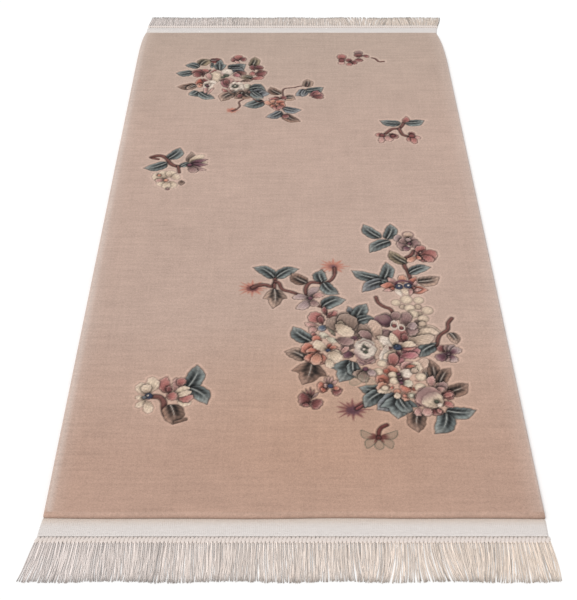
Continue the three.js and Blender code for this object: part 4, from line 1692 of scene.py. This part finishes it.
class RUG_OT_fringe(bpy.types.Operator):
    """Ties the fringe: at each end a row of knots, and below each knot a lock of loose plied yarns"""

    bl_idname = "rug.tie_fringe"
    bl_label = "Knotted fringe"

    FIRST_SEED = 5
    BEHIND_EDGE = 5  # how far back of the woven edge a yarn starts
    UNEVEN_REACH = 0.009
    UNEVEN_PLACE = 0.07
    UNEVEN_TONE = 0.045
    RATES = (1.2, 3.2)  # half waves along a yarn
    SWINGS = (0.5, 2.4)  # how far they reach at the tip
    LAYERS = (0.3, 1)  # share of the lock's height
    UNDER_SPREAD = (3.6, 8.4)  # of the lower yarns, at the edge and past the knot
    UNDER_THICK = 1.5
    UPPER_THICK = 1.1
    # painted shade: the lower yarns are darker, as if in the upper ones' shadow
    UNDER_SHADE = 0.9
    RARE_SHARE = 0.06  # yarns spun darker
    RARE_TONE = 0.8
    # Painted shade along a yarn: darker at its start by the knot and at its tip
    PAINTED_SHADE_ALONG = (0.8, 1, 1, 0.76)  # at the start, past it, before the tip and at the tip
    WARM_SIDE = np.array([2.0, -1.0, -6.0])  # added to the dye at the right side, taken off at the left
    HALF_WIDTH = 457
    KNOT_RINGS = 7
    KNOT_SIDES = 8
    KNOT_SHARE = 0.03  # share of the lock where its knot sits
    KNOT_HALF_WIDTH = 4.6
    KNOT_HALF_LENGTH = 7.4
    KNOT_SLANT = 2.0
    KNOT_MIDDLE = 2.5  # height of its middle
    KNOT_RISE = 2.4  # its half height
    KNOT_TONE = np.array([0.915, 0.92, 0.93])

    def execute(self, context):
        sizes, dyes = context.scene.fringe_sizes, context.scene.rug_dyes
        finish = fringe_yarn()
        self.locks = sizes.locks
        for seed, (name, end) in enumerate(ENDS.items(), self.FIRST_SEED):
            draw = np.random.default_rng(seed)
            paths, radii = self.yarns(end, sizes, draw)
            tube, quads, uv = tubes(paths, radii, SIDES)
            knots, knot_quads, knot_uv = self.knots(end, sizes)
            tone = self.tones(paths[:, 0, 0], dyes, draw) * end["tone"]
            # painted shade along each yarn
            shade = np.interp(np.arange(SECTIONS), (0, 1, SECTIONS - 2.2, SECTIONS - 1), self.PAINTED_SHADE_ALONG)
            yarn_dye = np.repeat((tone[:, None] * shade[:, None]).reshape(-1, 3), SIDES, axis=0)
            knot_dye = plain(shown(dyes.yarn) * self.KNOT_TONE, knots)
            points = np.vstack([tube, knots])
            faces = [quads, knot_quads + len(tube)]
            colours = np.vstack([yarn_dye, knot_dye])
            piece = knit(f"fringe_{name}_yarns", points, faces, colours, finish, np.vstack([uv, knot_uv]))
            ride_as(piece, f"fringe_{name}")
        return {"FINISHED"}

    def route(self, end, i, s, locks):
        """A lock's middle line: it wanders by slow sines, leans out near the corners, and on the right sways
        with its neighbours."""
        across = i / (locks - 1)
        start = end["left"] + ROOT_INSET + (end["right"] - end["left"] - 2 * ROOT_INSET) * across
        left, right = end["lean"]
        lean = left * (1 - across) ** 24 + right * across**9
        length = end["length"] + sum(h * np.sin(rate * i) for h, rate in LENGTH_WAVES)
        wander = s * (2.6 * np.sin(0.31 * i + 2 * s) + 1.2 * np.sin(1.1 * i + 3 * s) + 0.8 * np.sin(2.9 * i))
        sway = SWAY["reach"] * np.sin(start / SWAY["wave"])
        sway = sway * smooth(*SWAY["grows"], start) * smooth(*SWAY["dies"], start) * s * np.abs(s)
        return start + lean * s + wander + sway, end["edge"] + end["way"] * (STRIP + length * s)

    def yarns(self, end, sizes, draw):
        """Middle lines and radii of all the yarns: the lock's route, plus the yarn's own place in the
        lock's spread, plus a wave of its own that grows towards the tip. The outer two lie flat below the
        rest, thicker and spread until they meet the next lock's."""
        locks, yarns = sizes.locks, sizes.yarns
        radius = sizes.yarn_radius / MM
        shape = (locks, yarns, 1)
        s = np.linspace(-self.BEHIND_EDGE / end["length"], 1, SECTIONS)
        i = np.arange(locks)[:, None, None]
        rank = (np.arange(yarns)[None, :, None] + 0.5) / yarns - 0.5
        reach = 1 + draw.normal(0, self.UNEVEN_REACH, shape)
        x, y = self.route(end, i, s * reach, locks)
        spread = np.interp(s, LOCK_SHAPE["share"], LOCK_SHAPE["spread"])
        phase = draw.uniform(0, TURN, shape)
        rate = draw.uniform(*self.RATES, shape)
        swing = draw.uniform(*self.SWINGS, shape) * s
        own = spread * (rank + draw.normal(0, self.UNEVEN_PLACE, shape) * s)
        own = own + swing * np.sin(rate * TURN / 2 * s + phase)
        below = self.below(yarns)[None, :, None]
        flat = np.interp(s, (0, 0.06), self.UNDER_SPREAD) * rank + 0.4 * own * s
        crossing = bell(x - CROSSING["x"], CROSSING["reach"]) * CROSSING["shift"] * np.sin(1.7 * i) * s
        own = np.where(below, flat, own + crossing)
        layer = np.where(below, 0, draw.uniform(*self.LAYERS, shape))
        height = np.interp(s, LOCK_SHAPE["share"], LOCK_SHAPE["height"])
        z = radius + height * (0.15 + 0.85 * layer) * (0.75 + 0.25 * np.sin(3 * TURN / 2 * s + 2 * phase))
        z = np.maximum(z, radius)
        paths = np.stack([x + own, y, z], axis=-1)
        thick = np.where(below, self.UNDER_THICK, self.UPPER_THICK)
        radii = radius * (1 - 0.25 * s**4) * (1 + 0.08 * np.sin(9 * s + phase)) * thick
        return paths.reshape(-1, SECTIONS, 3), radii.reshape(-1, SECTIONS)

    def below(self, yarns):
        """The two outer yarns of a lock."""
        return np.isin(np.arange(yarns), (0, yarns - 1))

    def tones(self, x, dyes, draw):
        """A dye for each yarn: cooler to the left, warmer to the right, darkened below by painted shade, each
        a little its own.
        """
        warm = self.WARM_SIDE * np.clip(x / self.HALF_WIDTH, -1, 1)[:, None]
        below = np.tile(self.below(len(x) // self.locks), self.locks)[:, None]
        # painted shade on the lower yarns
        dark = np.where(below, self.UNDER_SHADE, 1.0)
        rare = np.where(draw.random((len(x), 1)) < self.RARE_SHARE, self.RARE_TONE, 1.0)
        return (shown(dyes.yarn) + warm) * draw.normal(1, self.UNEVEN_TONE, (len(x), 1)) * dark * rare

    def knots(self, end, sizes):
        """A tied knot on each lock: an egg whose radius is ribbed by its two turns of yarn."""
        i = np.arange(sizes.locks)[:, None, None]
        along = np.linspace(-1, 1, self.KNOT_RINGS)[None, :, None]
        angle = (np.arange(self.KNOT_SIDES) / self.KNOT_SIDES * TURN)[None, None, :]
        x, y = self.route(end, i, self.KNOT_SHARE, sizes.locks)
        swell = np.sqrt(np.maximum(1 - along**2, 0.03)) * (1 + 0.12 * np.cos(2 * angle + 5 * along + i))
        way = end["way"]
        px = x + self.KNOT_HALF_WIDTH * swell * np.cos(angle) - self.KNOT_SLANT * along
        py = y + way * self.KNOT_HALF_LENGTH * along + 0.5 * np.cos(angle) * swell
        pz = np.maximum(self.KNOT_MIDDLE + self.KNOT_RISE * swell * np.sin(angle), 0.05)
        return tube_faces(np.stack([px, py, pz], axis=-1), way < 0)


def tubes(paths, radii, sides):
    """Round tubes along many paths at once. At each point the ring stands square to the path: one
    spoke level across it, the other upright."""
    ahead = np.gradient(paths, axis=1)
    ahead /= np.linalg.norm(ahead, axis=-1, keepdims=True)
    across = np.cross(ahead, [0.0, 0.0, 1.0])
    across /= np.linalg.norm(across, axis=-1, keepdims=True)
    up = np.cross(across, ahead)
    angle = (np.arange(sides) + 0.5) / sides * TURN
    spoke = across[:, :, None] * np.cos(angle)[:, None] + up[:, :, None] * np.sin(angle)[:, None]
    rings = paths[:, :, None] + radii[:, :, None, None] * spoke
    return tube_faces(rings, False)


def tube_faces(rings, flip):
    """Points, faces and map places of closed tubes given as (tube, ring, side) points. Walls join each
    ring to the next, and each end is closed by a ladder of squares across its ring. The map runs once
    around, and in metres along."""
    count, ring_count, sides, _ = rings.shape
    node = np.arange(count * ring_count * sides).reshape(count, ring_count, sides)
    beside = np.roll(node, -1, axis=2)
    walls = np.stack([node[:, :-1], node[:, 1:], beside[:, 1:], beside[:, :-1]], axis=-1)
    steps = np.linalg.norm(np.diff(rings.mean(axis=2), axis=1), axis=-1) * MM
    far = np.concatenate([np.zeros((count, 1)), np.cumsum(steps, axis=1)], axis=1)
    start = np.arange(sides) / sides
    u = np.stack([start, start, start + 1 / sides, start + 1 / sides], axis=-1)
    v = np.stack([far[:, :-1], far[:, 1:], far[:, 1:], far[:, :-1]], axis=-1)
    uv = np.empty((*walls.shape, 2))
    uv[..., 0] = u[None, None]
    uv[..., 1] = v[:, :, None]
    k = np.arange(sides // 2 - 1)
    rungs = np.stack([k, k + 1, sides - 2 - k, sides - 1 - k], axis=-1)
    first, last = node[:, 0][:, rungs], node[:, -1][:, rungs][..., ::-1]
    faces = np.vstack([walls.reshape(-1, 4), first.reshape(-1, 4), last.reshape(-1, 4)])
    cap_uv = np.zeros((2 * count * len(rungs), 4, 2))
    uv = np.vstack([uv.reshape(-1, 4, 2), cap_uv])
    if flip:
        faces, uv = faces[:, ::-1], uv[:, ::-1]
    return rings.reshape(-1, 3), faces, uv


# Stage


class RUG_OT_stage(bpy.types.Operator):
    """Sets the stage: a pale floor, a white surround, soft studio light and the camera"""

    bl_idname = "rug.set_stage"
    bl_label = "Stage"

    FLOOR_TONE = 0.965
    VIEW_END = 100

    def execute(self, context):
        settings = context.scene.stage_settings
        self.floor(context.scene, settings)
        self.surround(context.scene, settings)
        self.light(context.scene, settings)
        self.camera(context.scene, settings)
        return {"FINISHED"}

    def floor(self, scene, settings):
        half = settings.floor_size / 2
        mesh = bpy.data.meshes.new("floor")
        corners = [(-half, -half, 0), (half, -half, 0), (half, half, 0), (-half, half, 0)]
        mesh.from_pydata(corners, [], [(0, 1, 2, 3)])
        finish = Finish("pale floor")
        cloud = finish.noise(finish.place(), 3.0)
        tone = self.FLOOR_TONE
        tint = finish.out(finish.node("ShaderNodeCombineColor", {0: tone + cloud * 0.01, 1: tone, 2: tone}))
        mesh.materials.append(
            finish.surface({"Base Color": tint, "Roughness": 0.9, "Specular IOR Level": 0.1}))
        floor = bpy.data.objects.new("floor", mesh)
        scene.collection.objects.link(floor)

    def surround(self, scene, settings):
        world = bpy.data.worlds.new("white surround")
        world.use_nodes = True
        background = world.node_tree.nodes["Background"]
        background.inputs["Color"].default_value = (1, 1, 1, 1)
        background.inputs["Strength"].default_value = settings.sky
        scene.world = world
        scene.view_settings.view_transform = "Standard"

    def light(self, scene, settings):
        data = bpy.data.lights.new("soft key light", "SUN")
        data.energy = settings.key
        data.angle = settings.key_spread
        lamp = bpy.data.objects.new("soft key light", data)
        lamp.rotation_euler = (math.pi / 2 - settings.key_height, 0, -settings.key_side)
        scene.collection.objects.link(lamp)

    def camera(self, scene, settings):
        data = bpy.data.cameras.new("camera")
        data.lens = settings.lens
        data.clip_end = self.VIEW_END
        camera = bpy.data.objects.new("camera", data)
        camera.location = (settings.eye_side, -settings.eye_back, settings.eye_height)
        camera.rotation_euler = (math.pi / 2 - settings.eye_tilt, 0, 0)
        scene.collection.objects.link(camera)
        scene.camera = camera


class RUG_PT_panel(bpy.types.Panel):
    """Lists the rug's settings and the steps that make it"""

    bl_idname = "RUG_PT_panel"
    bl_label = "Carved oriental rug"
    bl_space_type = "VIEW_3D"
    bl_region_type = "UI"
    bl_category = "Rug"

    def draw(self, context):
        for group in GROUPS:
            box = self.layout.box()
            settings = getattr(context.scene, group)
            for name in settings.__annotations__:
                box.prop(settings, name)
        for operator in OPERATORS:
            self.layout.operator(operator.bl_idname)


GROUPS = {
    "rug_sizes": RugSizes,
    "rug_dyes": RugDyes,
    "fringe_sizes": FringeSizes,
    "stage_settings": StageSettings,
}
OPERATORS = (RUG_OT_stage, RUG_OT_pile, RUG_OT_fringe, RUG_OT_foundation)


def register():
    for name, group in GROUPS.items():
        bpy.utils.register_class(group)
        setattr(bpy.types.Scene, name, PointerProperty(type=group))
    for operator in OPERATORS:
        bpy.utils.register_class(operator)
    bpy.utils.register_class(RUG_PT_panel)


def unregister():
    bpy.utils.unregister_class(RUG_PT_panel)
    for operator in reversed(OPERATORS):
        bpy.utils.unregister_class(operator)
    for name, group in reversed(GROUPS.items()):
        delattr(bpy.types.Scene, name)
        bpy.utils.unregister_class(group)


def main():
    """Makes the stage and every piece."""
    register()
    bpy.ops.rug.set_stage()
    bpy.ops.rug.knot_pile()
    bpy.ops.rug.tie_fringe()
    bpy.ops.rug.weave_foundation()


if __name__ == "__main__":
    main()
